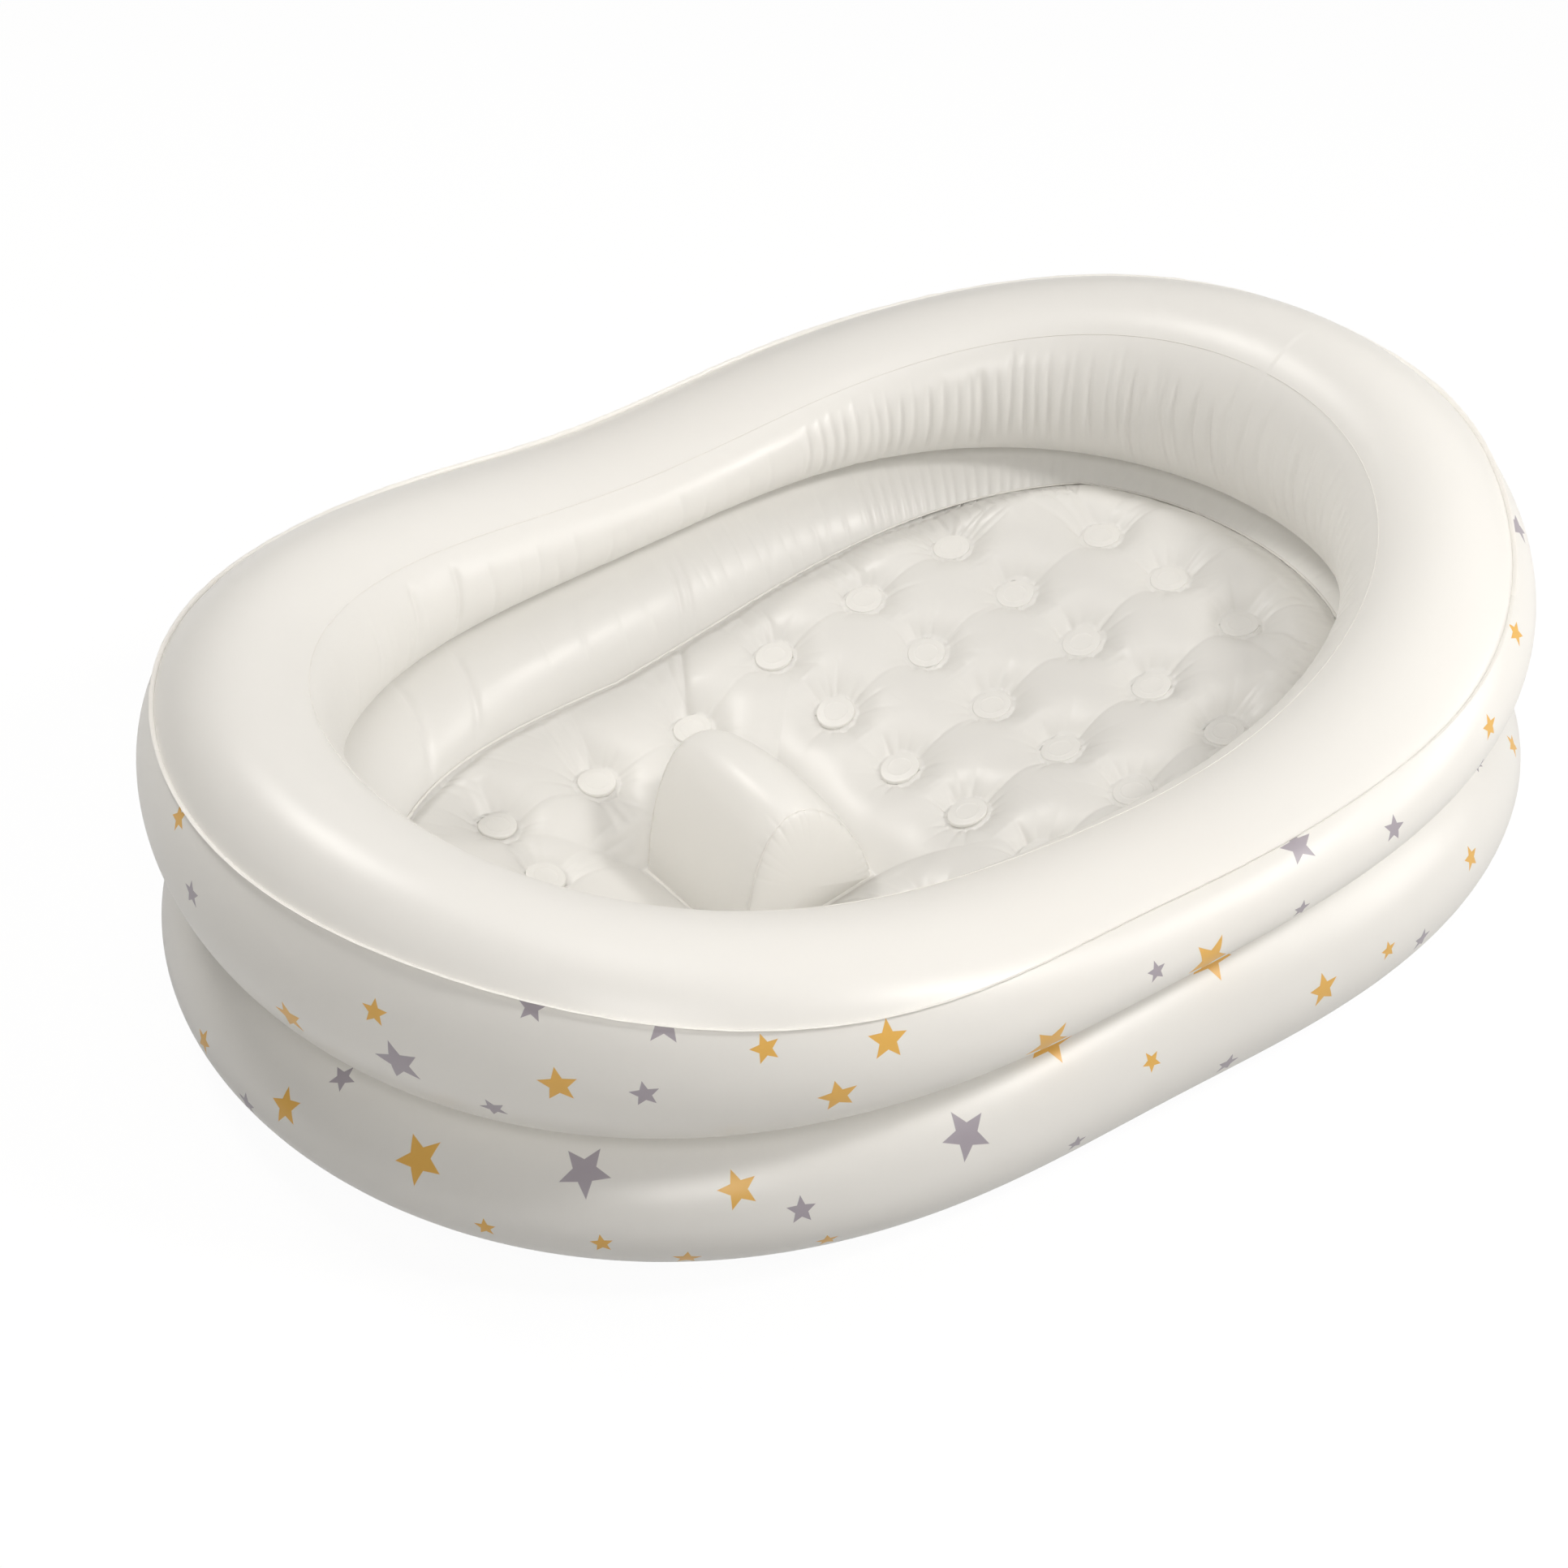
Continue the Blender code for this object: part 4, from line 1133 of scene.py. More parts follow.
    def build(self) -> bpy.types.Object:
        """Makes the floor as one closed skin: its top, its side on the wall and its underside.

        Returns:
            The finished piece.
        """
        self.find_tufts()
        bm, angle, share = disc_grid(self.steps)
        edge = FLOOR.edge(angle)
        _, normal = OUTLINE.centre(angle)
        pole = np.array([OUTLINE.shift, 0.0])
        rim = edge[:, :2] - normal * FLOOR.wall_gap
        plan = pole + (rim - pole) * share[:, None]
        for tuft in self.tufts:
            offset = plan - tuft
            reach = np.hypot(offset[:, 0], offset[:, 1])
            near = np.abs(reach - self.disc) < self.snap
            plan[near] = np.array(tuft) + offset[near] * (self.disc / reach[near])[:, None]
        height = self.height(plan[:, 0], plan[:, 1], angle)
        height = np.where(share > 1.0 - 1e-6, edge[:, 2], height)
        turn = bm.verts.layers.float.new("turn")
        for vert, here, x, y, z in zip(bm.verts, angle, plan[:, 0], plan[:, 1], height):
            vert[turn] = here
            vert.co = (x, y, max(z, SHEET + GAP))
        ring = [item for item in bm.edges if item.is_boundary]
        for number, tilt in enumerate((150.0, 175.0, 200.0, 225.0, 250.0, None)):
            grown = bmesh.ops.extrude_edge_only(bm, edges=ring)["geom"]
            verts, ring = verts_of(grown), open_edges_of(grown)
            around = np.array([vert[turn] for vert in verts])
            _, normal = OUTLINE.centre(around)
            side = OUTLINE.wall(around, np.full_like(around, math.radians(tilt or 250.0)))
            side[:, :2] -= normal * FLOOR.wall_gap
            top = FLOOR.edge(around)[:, 2] - 0.004 * (number + 1)
            side[:, 2] = np.maximum(SHEET + GAP, np.minimum(side[:, 2], top))
            if tilt is None:
                side[:, :2] = pole + (side[:, :2] - pole) * 0.9
                side[:, 2] = SHEET + GAP
            for vert, place in zip(verts, side):
                vert.co = place
        last = verts_of(bmesh.ops.extrude_edge_only(bm, edges=ring)["geom"])
        bmesh.ops.pointmerge(bm, verts=last, merge_co=(*pole, SHEET + GAP))
        piece = finish_mesh(bm, "air_floor")
        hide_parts("floor_cushion")
        FLOOR_SHEET.dress(piece)
        self.build_discs()
        return place_piece(piece, "root")

    def build_discs(self) -> bpy.types.Object:
        """Makes the flat weld disc of every tuft, each with its ring.

        Returns:
            The finished piece.
        """
        profile = [
            (0.0, 0.0009), (0.0068, 0.0009), (0.0073, 0.0011), (0.0078, 0.0011), (0.0083, 0.0009),
            (self.disc - 0.0004, 0.0009), (self.disc, 0.0005), (self.disc, -0.0012), (0.0, -0.0012),
        ]
        bm = spun(rounded(profile, 0.0003, 2), 64)
        first = bm.verts[:] + bm.edges[:] + bm.faces[:]
        for tx, ty in self.tufts[1:]:
            made = bmesh.ops.duplicate(bm, geom=first)["geom"]
            bmesh.ops.translate(bm, vec=(tx, ty, 0.0), verts=verts_of(made))
        bmesh.ops.translate(bm, vec=(*self.tufts[0], 0.0), verts=verts_of(first))
        x, y = np.array([vert.co[:2] for vert in bm.verts]).T
        for vert, level in zip(bm.verts, FLOOR.weld_height(x, FLOOR.room(x, y)) - 0.001):
            vert.co.z += level
        piece = finish_mesh(bm, "tuft_welds", crease=50.0)
        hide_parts("floor_cushion")
        FLOOR_SHEET.dress(piece)
        return place_piece(piece, "root")


@dataclass
class FloorWeld:
    """The weld bead where the floor meets the inner wall."""

    reach: float = 0.0020
    thickness: float = 0.0012
    around: int = 1320
    section: int = 8

    def build(self) -> bpy.types.Object:
        """Makes the bead, uneven as a hand-fed weld is.

        Returns:
            The finished piece.
        """
        rng = np.random.default_rng(17)
        angle = math.tau * np.arange(self.around) / self.around
        edge = FLOOR.edge(angle)
        _, normal = OUTLINE.centre(angle)
        orders = rng.integers(60, 320, 12)
        ripple = sum(np.sin(order * angle + rng.uniform(0.0, 6.28)) for order in orders) / 6.0
        turn = math.tau * np.arange(self.section) / self.section
        out = 0.0001 + self.reach * (1.0 + 0.25 * ripple[:, None]) * (1.0 - np.cos(turn)) / 2.0
        rise = 0.0002 + self.thickness * (1.0 + np.sin(turn)) / 2.0 + 0.0002 * ripple[:, None]
        plan = edge[:, None, :2] - normal[:, None] * out[..., None]
        grid = np.concatenate([plan, edge[:, None, 2:] + rise[..., None]], -1)
        bm, step, number = torus_grid(self.around, self.section)
        piece = finish_mesh(bm, "floor_weld", grid[step, number], crease=60.0)
        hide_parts("floor_seam")
        WELD_EDGE.dress(piece)
        return place_piece(piece, "root")


@dataclass
class SaddleHorn:
    """The loaf-shaped air horn with a welded panel at each end."""

    around: int = 240
    loaf: int = 76
    panel: int = 26
    arch_steps: int = 180
    swell: float = 0.0062
    shoulder: float = 0.0022
    dome: float = 0.0095
    seed: int = 23

    def build(self) -> bpy.types.Object:
        """Makes the horn as one closed skin.

        Returns:
            The finished piece.
        """
        rings = self.loaf + 2 * self.panel - 1
        bm, angle, ring = sphere_grid(self.around, rings)
        number = np.round(angle * self.around / math.tau).astype(int) % self.around
        on_arch = number <= self.arch_steps
        turn = np.where(on_arch, math.pi * number / self.arch_steps, 0.0)
        back = (number - self.arch_steps) / (self.around - self.arch_steps)
        first, last = self.panel, rings + 1 - self.panel
        along = np.sin((np.clip((ring - first) / (last - first), 0.0, 1.0) - 0.5) * math.pi)
        y = along * HORN.half_width
        out = np.minimum(1.0, np.minimum(ring, rings + 1 - ring) / self.panel) * math.pi / 2.0
        inset = np.sin(out)
        belly = 1.0 - along**2
        grow = self.swell * np.sin(turn) * belly - self.shoulder * np.abs(along) ** 14 * np.sin(turn)
        grow = grow - self.puckers(turn, y)
        x, z = HORN.arch(turn, grow)
        foot_x = HORN.x + (2.0 * back - 1.0) * HORN.half_length
        x = np.where(on_arch, x, foot_x)
        z = np.where(on_arch, z, HORN.pad(foot_x) + GAP)
        mid_x = HORN.x + HORN.lean / 2.0
        mid_z = HORN.pad_height + HORN.height * 0.36
        x = mid_x + (x - mid_x) * inset
        z = mid_z + (z - mid_z) * inset
        low = 1.0 - np.where(on_arch, np.sin(turn), 0.0)
        bulge = self.dome * np.cos(out) * (1.0 - 0.4 * inset**2 * low)
        flat = np.full_like(y, HORN.half_width)
        bulge = bulge - 0.9 * self.puckers(turn, flat * np.sign(y)) * inset**9 * (inset < 0.9999)
        points = np.stack([x, y + np.sign(y) * bulge, z], -1)
        piece = finish_mesh(bm, "saddle_horn_skin", points)
        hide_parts("saddle_horn")
        FLOOR_SHEET.dress(piece)
        return place_piece(piece, "root")

    def puckers(self, turn: Array, y: Array) -> Array:
        """Short folds square to the two end seams.

        Args:
            turn: angles on the arch.
            y: places along the horn.

        Returns:
            The depth at each point.
        """
        rng = np.random.default_rng(self.seed)
        depth = np.zeros_like(turn)
        from_seam = HORN.half_width - np.abs(y)
        for side in (-1.0, 1.0):
            place = 0.12
            while place < math.pi - 0.1:
                reach = rng.uniform(0.003, 0.009)
                deep = rng.uniform(0.0002, 0.0008)
                wide = rng.uniform(0.014, 0.026)
                fold = deep * np.exp(-from_seam / reach) / (1.0 + ((turn - place) / wide) ** 2) ** 1.5
                depth += np.where(np.sign(y) == side, fold, 0.0)
                place += rng.uniform(0.08, 0.24)
        return depth


@dataclass
class HornWelds:
    """The weld beads round the horn's end panels and the flange round its foot."""

    bead: float = 0.0006
    sink: float = 0.0024
    flange: float = 0.0022

    def bead_piece(self, name: str, node: str, side: float) -> bpy.types.Object:
        """Makes the bead round one end panel.

        Args:
            name: the piece's name.
            node: the frame's node that it stands for.
            side: 1 for the far panel and -1 for the near one.

        Returns:
            The finished piece.
        """
        steps, section = 120, 8
        turn = np.linspace(0.13, math.pi - 0.13, steps)
        ripple = np.sin(turn * 71.0) * 0.4 + np.sin(turn * 113.0 + 1.0) * 0.6
        x, z = HORN.arch(turn, -self.sink * np.sin(turn))
        path = np.stack([x, np.full_like(x, side * HORN.half_width), z], -1)
        tangent = np.gradient(path, axis=0)
        tangent /= np.linalg.norm(tangent, axis=-1, keepdims=True)
        out = np.cross(tangent, np.array([0.0, side, 0.0]))
        middle = np.array([HORN.x, side * HORN.half_width, 0.04])
        out *= np.sign((out * (path - middle)).sum(-1, keepdims=True))
        bm = bmesh.new()
        bmesh.ops.create_circle(bm, segments=section, radius=self.bead)
        start = bm.edges[:]
        rings = [list(bm.verts)]
        for _ in range(steps - 1):
            grown = bmesh.ops.extrude_edge_only(bm, edges=start)["geom"]
            start = open_edges_of(grown)
            rings.append(verts_of(grown))
        around = math.tau * np.arange(section) / section
        for number, ring in enumerate(rings):
            size = self.bead * (1.0 + 0.18 * ripple[number])
            for vert, at in zip(ring, around):
                sideways = np.array([0.0, side, 0.0]) * size * math.sin(at) * 0.7
                vert.co = Vector(path[number] + out[number] * size * math.cos(at) + sideways)
        bmesh.ops.holes_fill(bm, edges=bm.edges, sides=section)
        bmesh.ops.recalc_face_normals(bm, faces=bm.faces)
        piece = finish_mesh(bm, name, crease=60.0)
        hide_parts(node)
        WELD_EDGE.dress(piece)
        return place_piece(piece, "root")

    def flange_piece(self) -> bpy.types.Object:
        """Makes the flange that joins the horn's foot to the floor.

        Returns:
            The finished piece.
        """
        around, section = 480, 8
        angle = math.tau * np.arange(around) / around
        scale = 1.0 / np.maximum(np.abs(np.cos(angle)), np.abs(np.sin(angle)))
        turn = math.tau * np.arange(section) / section
        grow = self.flange * (1.0 + np.cos(turn)) / 2.0 - GAP
        x = HORN.x + (HORN.half_length + grow) * (np.cos(angle) * scale)[:, None]
        y = (HORN.half_width + grow) * (np.sin(angle) * scale)[:, None]
        z = HORN.pad(x) + GAP + SHEET * (1.0 + np.sin(turn)) / 2.0
        bm, step, number = torus_grid(around, section)
        piece = finish_mesh(bm, "horn_foot_weld", np.stack([x, y, z], -1)[step, number], crease=60.0)
        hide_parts("horn_base_seam")
        WELD_EDGE.dress(piece)
        return place_piece(piece, "root")

    def build(self) -> None:
        """Makes the two beads and the flange."""
        self.bead_piece("horn_near_weld", "horn_near_seam", -1.0)
        self.bead_piece("horn_far_weld", "horn_far_seam", 1.0)
        self.flange_piece()


def spun(profile: list[tuple[float, float]], steps: int) -> bmesh.types.BMesh:
    """Spins a profile once round the Z axis.

    Args:
        profile: closed outline of (radius, height) points, or one that starts and ends on the axis.
        steps: steps round.

    Returns:
        The bmesh, with its normals outward.
    """
    bm = bmesh.new()
    verts = [bm.verts.new((radius, 0.0, height)) for radius, height in profile]
    pairs = list(zip(verts, verts[1:]))
    if profile[0][0] > 0.0:
        pairs.append((verts[-1], verts[0]))
    edges = [bm.edges.new(pair) for pair in pairs]
    bmesh.ops.spin(
        bm, geom=verts + edges, cent=(0, 0, 0), axis=(0, 0, 1), angle=math.tau, steps=steps, use_merge=True
    )
    bmesh.ops.remove_doubles(bm, verts=bm.verts, dist=SAME_ON_PART)
    bmesh.ops.recalc_face_normals(bm, faces=bm.faces)
    return bm


def turned(
    name: str, profile: list[tuple[float, float]], matrix: Matrix, steps: int = 72
) -> bpy.types.Object:
    """Makes a turned piece in its own frame.

    Args:
        name: the piece's name.
        profile: its outline, as for spun.
        matrix: the piece's frame.
        steps: steps round.

    Returns:
        The object, not yet dressed.
    """
    bm = spun(profile, steps)
    bmesh.ops.transform(bm, matrix=matrix, verts=bm.verts)
    return finish_mesh(bm, name, crease=MOULDED_CREASE)


def rounded(profile: list[tuple[float, float]], radius: float, steps: int = 4) -> list[tuple[float, float]]:
    """Rounds the corners of a profile that lie off the axis.

    Args:
        profile: outline of (radius, height) points.
        radius: how far each corner is cut back.
        steps: points on each round.

    Returns:
        The profile with its corners rounded.
    """
    result = []
    count = len(profile)
    for number, corner in enumerate(profile):
        if corner[0] <= 0.0:
            result.append(corner)
            continue
        here = np.array(corner)
        before, after = np.array(profile[number - 1]), np.array(profile[(number + 1) % count])
        cut = min(radius, np.linalg.norm(before - here) / 2.2, np.linalg.norm(after - here) / 2.2)
        start = here + (before - here) / np.linalg.norm(before - here) * cut
        end = here + (after - here) / np.linalg.norm(after - here) * cut
        for step in range(steps + 1):
            t = step / steps
            result.append(tuple((1 - t) ** 2 * start + 2 * t * (1 - t) * here + t**2 * end))
    return result


@dataclass(frozen=True)
class HingedCap:
    """Sizes of a cap that hinges at +X and lifts at -X."""

    radius: float
    thickness: float
    hinge: float
    plug: float
    tip: float
    reach: float
    tab: float
    width: float

    def build(self, name: str, node: str, body: str, matrix: Matrix) -> bpy.types.Object:
        """Makes the cap, its strap and its lift tab.

        Args:
            name: the piece's name.
            node: the frame's node that it stands for.
            body: the body that it moves with.
            matrix: the cap's frame, with its top at zero.

        Returns:
            The finished piece.
        """
        low = -self.thickness
        profile = [
            (0.0, 0.0), (self.radius * 0.70, 0.0), (self.radius * 0.76, 0.0003),
            (self.radius * 0.96, 0.0003), (self.radius, -0.0003), (self.radius, low),
            (self.plug, low), (self.plug * 1.01, low - self.reach * 0.35),
            (self.plug * 0.97, low - self.reach * 0.45), (self.tip, low - self.reach),
            (0.0, low - self.reach),
        ]
        piece = turned(name, rounded(profile, 0.00025), matrix)
        bm = bmesh.new()
        bm.from_mesh(piece.data)
        for first, last, floor, width in (
            (self.radius * 0.9, self.hinge + 0.0003, low, self.width),
            (-self.tab, -self.radius * 0.9, low + 0.0004, self.width),
        ):
            made = bmesh.ops.create_cube(bm, size=1.0)["verts"]
            size = Vector((last - first, width, -0.0002 - floor))
            middle = Vector(((first + last) / 2.0, 0.0, (floor - 0.0002) / 2.0))
            bmesh.ops.scale(bm, vec=size, verts=made)
            bmesh.ops.translate(bm, vec=middle, verts=made)
            edges = list({edge for vert in made for edge in vert.link_edges})
            rounded_edges = bmesh.ops.bevel(
                bm, geom=edges, offset=0.0003, segments=3, profile=0.5, affect="EDGES", material=-1
            )["verts"]
            bmesh.ops.transform(bm, matrix=matrix, verts=list(set(rounded_edges)))
        bm.to_mesh(piece.data)
        bm.free()
        piece.data.shade_smooth()
        piece.data.set_sharp_from_angle(angle=math.radians(MOULDED_CREASE))
        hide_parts(node)
        MOULDED.dress(piece)
        return place_piece(piece, body)


@dataclass(frozen=True)
class AirValve:
    """One sunk air valve: seat, stem, hinged cap and non-return flap."""

    name: str
    flange: float = 0.0150
    flange_thickness: float = 0.0012
    sleeve: float = 0.0070
    sleeve_wall: float = 0.0010
    sleeve_depth: float = 0.0140
    stem: float = 0.0066
    bore: float = 0.0045
    stem_length: float = 0.0180
    flap: float = 0.0052
    flap_thickness: float = 0.0006
    pocket: float = 0.0100
    pocket_lip: float = 0.0022
    pocket_depth: float = 0.0270
    skin_level: float = -0.0009
    cap: HingedCap = HingedCap(0.0060, 0.0015, 0.0065, 0.0042, 0.0031, 0.0040, 0.0086, 0.0036)

    def matrix(self) -> Matrix:
        """The valve's frame, with Z out of its chamber and zero at its flange's top."""
        if self.name == "floor":
            return Matrix.Translation((FLOOR_VALVE_AT[0], FLOOR_VALVE_AT[1], FLOOR_VALVE_AT[2] + 0.0006))
        upper = self.name == "rim"
        angle = np.array(math.radians(52.0 if upper else 33.0))
        skin = OUTLINE.skin(upper)
        _, plan = OUTLINE.centre(angle)
        out = Vector((*plan, 0.0))
        down = Vector((0.0, 0.0, -1.0))
        frame_out = Matrix((down, out.cross(down), out)).transposed().to_4x4()
        frame_out.translation = Vector(skin(angle, np.array(0.0))) - out * 0.0012
        return frame_out

    def seat_in(self, grid: Array) -> Array:
        """Lays a ring's skin flat under the flange and draws it down round the sleeve.

        Args:
            grid: points of the ring's skin.

        Returns:
            The points with those near the valve moved.
        """
        matrix = self.matrix()
        inward, outward = np.array(matrix.inverted()), np.array(matrix)
        local = grid @ inward[:3, :3].T + inward[:3, 3]
        away = np.hypot(local[..., 0], local[..., 1])
        drawn = np.clip((self.pocket + self.pocket_lip - away) / self.pocket_lip, 0.0, 1.0)
        level = self.skin_level - (self.skin_level + self.pocket_depth) * drawn
        hold = ease(1.0 - (away - self.flange - 0.0005) / 0.0090) * (np.abs(local[..., 2]) < 0.02)
        local[..., 2] += (level - local[..., 2]) * hold
        return local @ outward[:3, :3].T + outward[:3, 3]

    def build(self) -> None:
        """Makes the valve's four pieces."""
        matrix = self.matrix()
        label = self.name + "_valve"
        outer = self.sleeve + self.sleeve_wall
        thick = self.flange_thickness
        seat = [
            (self.flange, -0.0005), (self.flange, -thick), (outer, -thick), (outer, -self.sleeve_depth),
            (self.sleeve, -self.sleeve_depth), (self.sleeve, 0.0), (self.sleeve + 0.0011, 0.0003),
            (self.sleeve + 0.0019, 0.0), (0.0112, 0.0), (0.0116, 0.00018), (0.0120, 0.0), (0.0127, 0.0),
            (0.0131, 0.00018), (0.0135, 0.0), (self.flange - 0.0004, 0.0),
        ]
        pieces = [(turned(label + "_flange", rounded(seat, 0.0002, 2), matrix), label + "_seat", "root")]
        foot = -GAP - self.stem_length
        tube = [
            (self.stem, -GAP), (self.stem, foot + 0.0032), (self.stem - 0.0003, foot + 0.0028),
            (self.stem - 0.0003, foot + 0.0020), (self.stem, foot + 0.0016), (self.stem, foot),
            (self.bore, foot), (self.bore, -GAP),
        ]
        stem = turned(label + "_tube", rounded(tube, 0.00025, 2), matrix)
        pieces.append((stem, label + "_stem", label + "_stem"))
        lifted = matrix @ Matrix.Translation((0.0, 0.0, self.cap.thickness + GAP))
        self.cap.build(label + "_lid", label + "_cap", label + "_cap", lifted)
        hung = matrix @ Matrix.Translation((0.0, 0.0, foot - GAP))
        under = -self.flap_thickness
        disc = [(0.0, 0.0), (self.flap, 0.0), (self.flap, under), (0.0, under)]
        flap = turned(label + "_tongue", rounded(disc, 0.00015, 2), hung, 48)
        pieces.append((flap, label + "_flap", label + "_flap"))
        for piece, node, body in pieces:
            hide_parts(node)
            MOULDED.dress(piece)
            place_piece(piece, body)


def ring_valves() -> tuple[AirValve, AirValve]:
    """The two valves in the rings' outer walls."""
    return AirValve("rim"), AirValve("wall")


@dataclass(frozen=True)
class FloorDrain:
    """The drain's seat, welded through the floor, and its hinged plug."""

    flange: float = 0.0190
    thickness: float = 0.0012
    tube: float = 0.0115
    bore: float = 0.0098
    cap: HingedCap = HingedCap(0.0150, 0.0020, 0.0155, 0.0092, 0.0074, 0.0075, 0.0195, 0.0080)

    def build(self) -> None:
        """Makes the seat and the plug."""
        level = DRAIN_AT[2] + 0.0006
        matrix = Matrix.Translation((DRAIN_AT[0], DRAIN_AT[1], level))
        seat = [
            (self.flange, -0.0005), (self.flange, -self.thickness), (self.tube, -self.thickness),
            (self.tube, GAP - level), (self.bore, GAP - level), (self.bore, 0.0), (0.0160, 0.0),
            (0.0164, 0.0002), (0.0168, 0.0), (0.0174, 0.0), (0.0178, 0.0002), (0.0182, 0.0),
            (self.flange - 0.0004, 0.0),
        ]
        piece = turned("drain_flange", rounded(seat, 0.0002, 2), matrix)
        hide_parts("drain_seat")
        MOULDED.dress(piece)
        place_piece(piece, "root")
        lifted = matrix @ Matrix.Translation((0.0, 0.0, self.cap.thickness + GAP))
        self.cap.build("drain_stopper", "drain_plug", "drain_plug", lifted)


def add_node(
    tree: bpy.types.NodeTree, kind: str, inputs: dict | None = None, **settings: object
) -> bpy.types.Node:
    """Adds a node with its settings and links.

    Args:
        tree: the material's node tree.
        kind: the node's type.
        inputs: values of its sockets by name or number, or the sockets that feed them.
        settings: its own properties.

    Returns:
        The node.
    """
    node = tree.nodes.new(kind)
    for key, value in settings.items():
        setattr(node, key, value)
    for key, value in (inputs or {}).items():
        if isinstance(value, bpy.types.NodeSocket):
            tree.links.new(value, node.inputs[key])
        else:
            node.inputs[key].default_value = value
    return node


def mix_colours(
    tree: bpy.types.NodeTree, share: object, first: object, second: object
) -> bpy.types.NodeSocket:
    """Blends two colours.

    Args:
        tree: the node tree.
        share: the second colour's share.
        first: a colour, or the socket that gives it.
        second: the other one.

    Returns:
        The blended colour.
    """
    inputs = {"Factor": share, 6: first, 7: second}
    return add_node(tree, "ShaderNodeMix", inputs, data_type="RGBA").outputs[2]


@dataclass(frozen=True)
class PvcFinish:
    """A soft PVC surface: satin, milky enough to let light through, with the grain of its rolls."""

    name: str
    colour: str
    cloud: str
    roughness: float
    grain: float
    grain_size: float
    ripple: float
    ripple_size: float
    coat: float = 0.0
    milky: float = 0.35
    printed: bool = False
    uneven: float = 0.05

    def material(self) -> bpy.types.Material:
        """The finish's material, made once.

        Returns:
            The material.
        """
        found = bpy.data.materials.get(self.name)
        if found:
            return found
        material = bpy.data.materials.new(self.name)
        material.use_nodes = True
        tree = material.node_tree
        tree.nodes.clear()
        place = add_node(tree, "ShaderNodeTexCoord").outputs["Object"]
        clouds = add_node(tree, "ShaderNodeTexNoise", {"Vector": place, "Scale": 1.0 / 0.12, "Detail": 3.0})
        plain, cloudy = linear_colour(self.colour), linear_colour(self.cloud)
        colour = mix_colours(tree, clouds.outputs["Fac"], plain, cloudy)
        low, high = self.roughness - self.uneven, self.roughness + self.uneven
        rough = add_node(
            tree, "ShaderNodeMapRange", {"Value": clouds.outputs["Fac"], "To Min": low, "To Max": high}
        ).outputs[0]
        if self.printed:
            colour = self.add_print(tree, colour)
        grain = add_node(
            tree, "ShaderNodeTexNoise", {"Vector": place, "Scale": 1.0 / self.grain_size, "Detail": 2.0}
        )
        ripple = add_node(
            tree, "ShaderNodeTexNoise", {"Vector": place, "Scale": 1.0 / self.ripple_size, "Detail": 1.0}
        )
        soft = add_node(
            tree, "ShaderNodeBump",
            {"Height": ripple.outputs["Fac"], "Strength": 1.0, "Distance": self.ripple},
        )
        fine = add_node(
            tree, "ShaderNodeBump",
            {"Height": grain.outputs["Fac"], "Normal": soft.outputs["Normal"],
             "Strength": 1.0, "Distance": self.grain},
        )
        shader = add_node(
            tree, "ShaderNodeBsdfPrincipled",
            {"Base Color": colour, "Roughness": rough, "Normal": fine.outputs["Normal"], "IOR": 1.53,
             "Coat Weight": self.coat, "Coat Roughness": 0.25},
        )
        through = add_node(
            tree, "ShaderNodeBsdfTranslucent", {"Color": colour, "Normal": fine.outputs["Normal"]}
        )
        milky = add_node(
            tree, "ShaderNodeMixShader", {0: self.milky, 1: shader.outputs[0], 2: through.outputs[0]}
        )
        add_node(tree, "ShaderNodeOutputMaterial", {"Surface": milky.outputs[0]})
        return material

    def add_print(self, tree: bpy.types.NodeTree, colour: bpy.types.NodeSocket) -> bpy.types.NodeSocket:
        """Lays the stars over a colour.

        Args:
            tree: the material's node tree.
            colour: the sheet's own colour.

        Returns:
            The printed colour.
        """
        notch_reach, notch_turn, sector = 0.45, math.radians(36.0), math.radians(72.0)
        notch = Vector((notch_reach * math.sin(notch_turn), notch_reach * math.cos(notch_turn)))
        side = notch - Vector((0.0, 1.0))
        normal = Vector((-side.y, side.x)).normalized()
        place = add_node(tree, "ShaderNodeUVMap", uv_map="print").outputs[0]
        parts = add_node(tree, "ShaderNodeSeparateXYZ", {0: place})

        def maths(operation: str, *values: object) -> bpy.types.NodeSocket:
            """One sum of the star's outline."""
            return add_node(tree, "ShaderNodeMath", dict(enumerate(values)), operation=operation).outputs[0]

        turn = maths("ARCTAN2", parts.outputs[0], parts.outputs[1])
        reach = add_node(tree, "ShaderNodeVectorMath", {0: place}, operation="LENGTH").outputs["Value"]
        wound = maths("FLOORED_MODULO", maths("ADD", turn, notch_turn), sector)
        folded = maths("ABSOLUTE", maths("SUBTRACT", wound, notch_turn))
        across = maths("MULTIPLY", reach, maths("SINE", folded))
        rise = maths("MULTIPLY", reach, maths("COSINE", folded))
        risen = maths("MULTIPLY", maths("SUBTRACT", rise, 1.0), abs(normal.y))
        out = maths("ADD", maths("MULTIPLY", across, abs(normal.x)), risen)
        bleed = 0.012
        inked = add_node(
            tree, "ShaderNodeMapRange",
            {"Value": out, "From Min": -bleed, "From Max": bleed, "To Min": 1.0, "To Max": 0.0},
        ).outputs[0]
        ink = add_node(tree, "ShaderNodeAttribute", attribute_name="ink").outputs["Fac"]
        tone = mix_colours(tree, ink, linear_colour(STAR_GOLD), linear_colour(STAR_GREY))
        return mix_colours(tree, inked, colour, tone)

    def dress(self, piece: bpy.types.Object) -> None:
        """Gives a piece this finish."""
        piece.data.materials.clear()
        piece.data.materials.append(self.material())


# The print's two inks.
STAR_GOLD = "F4C166"
STAR_GREY = "B5AEB8"
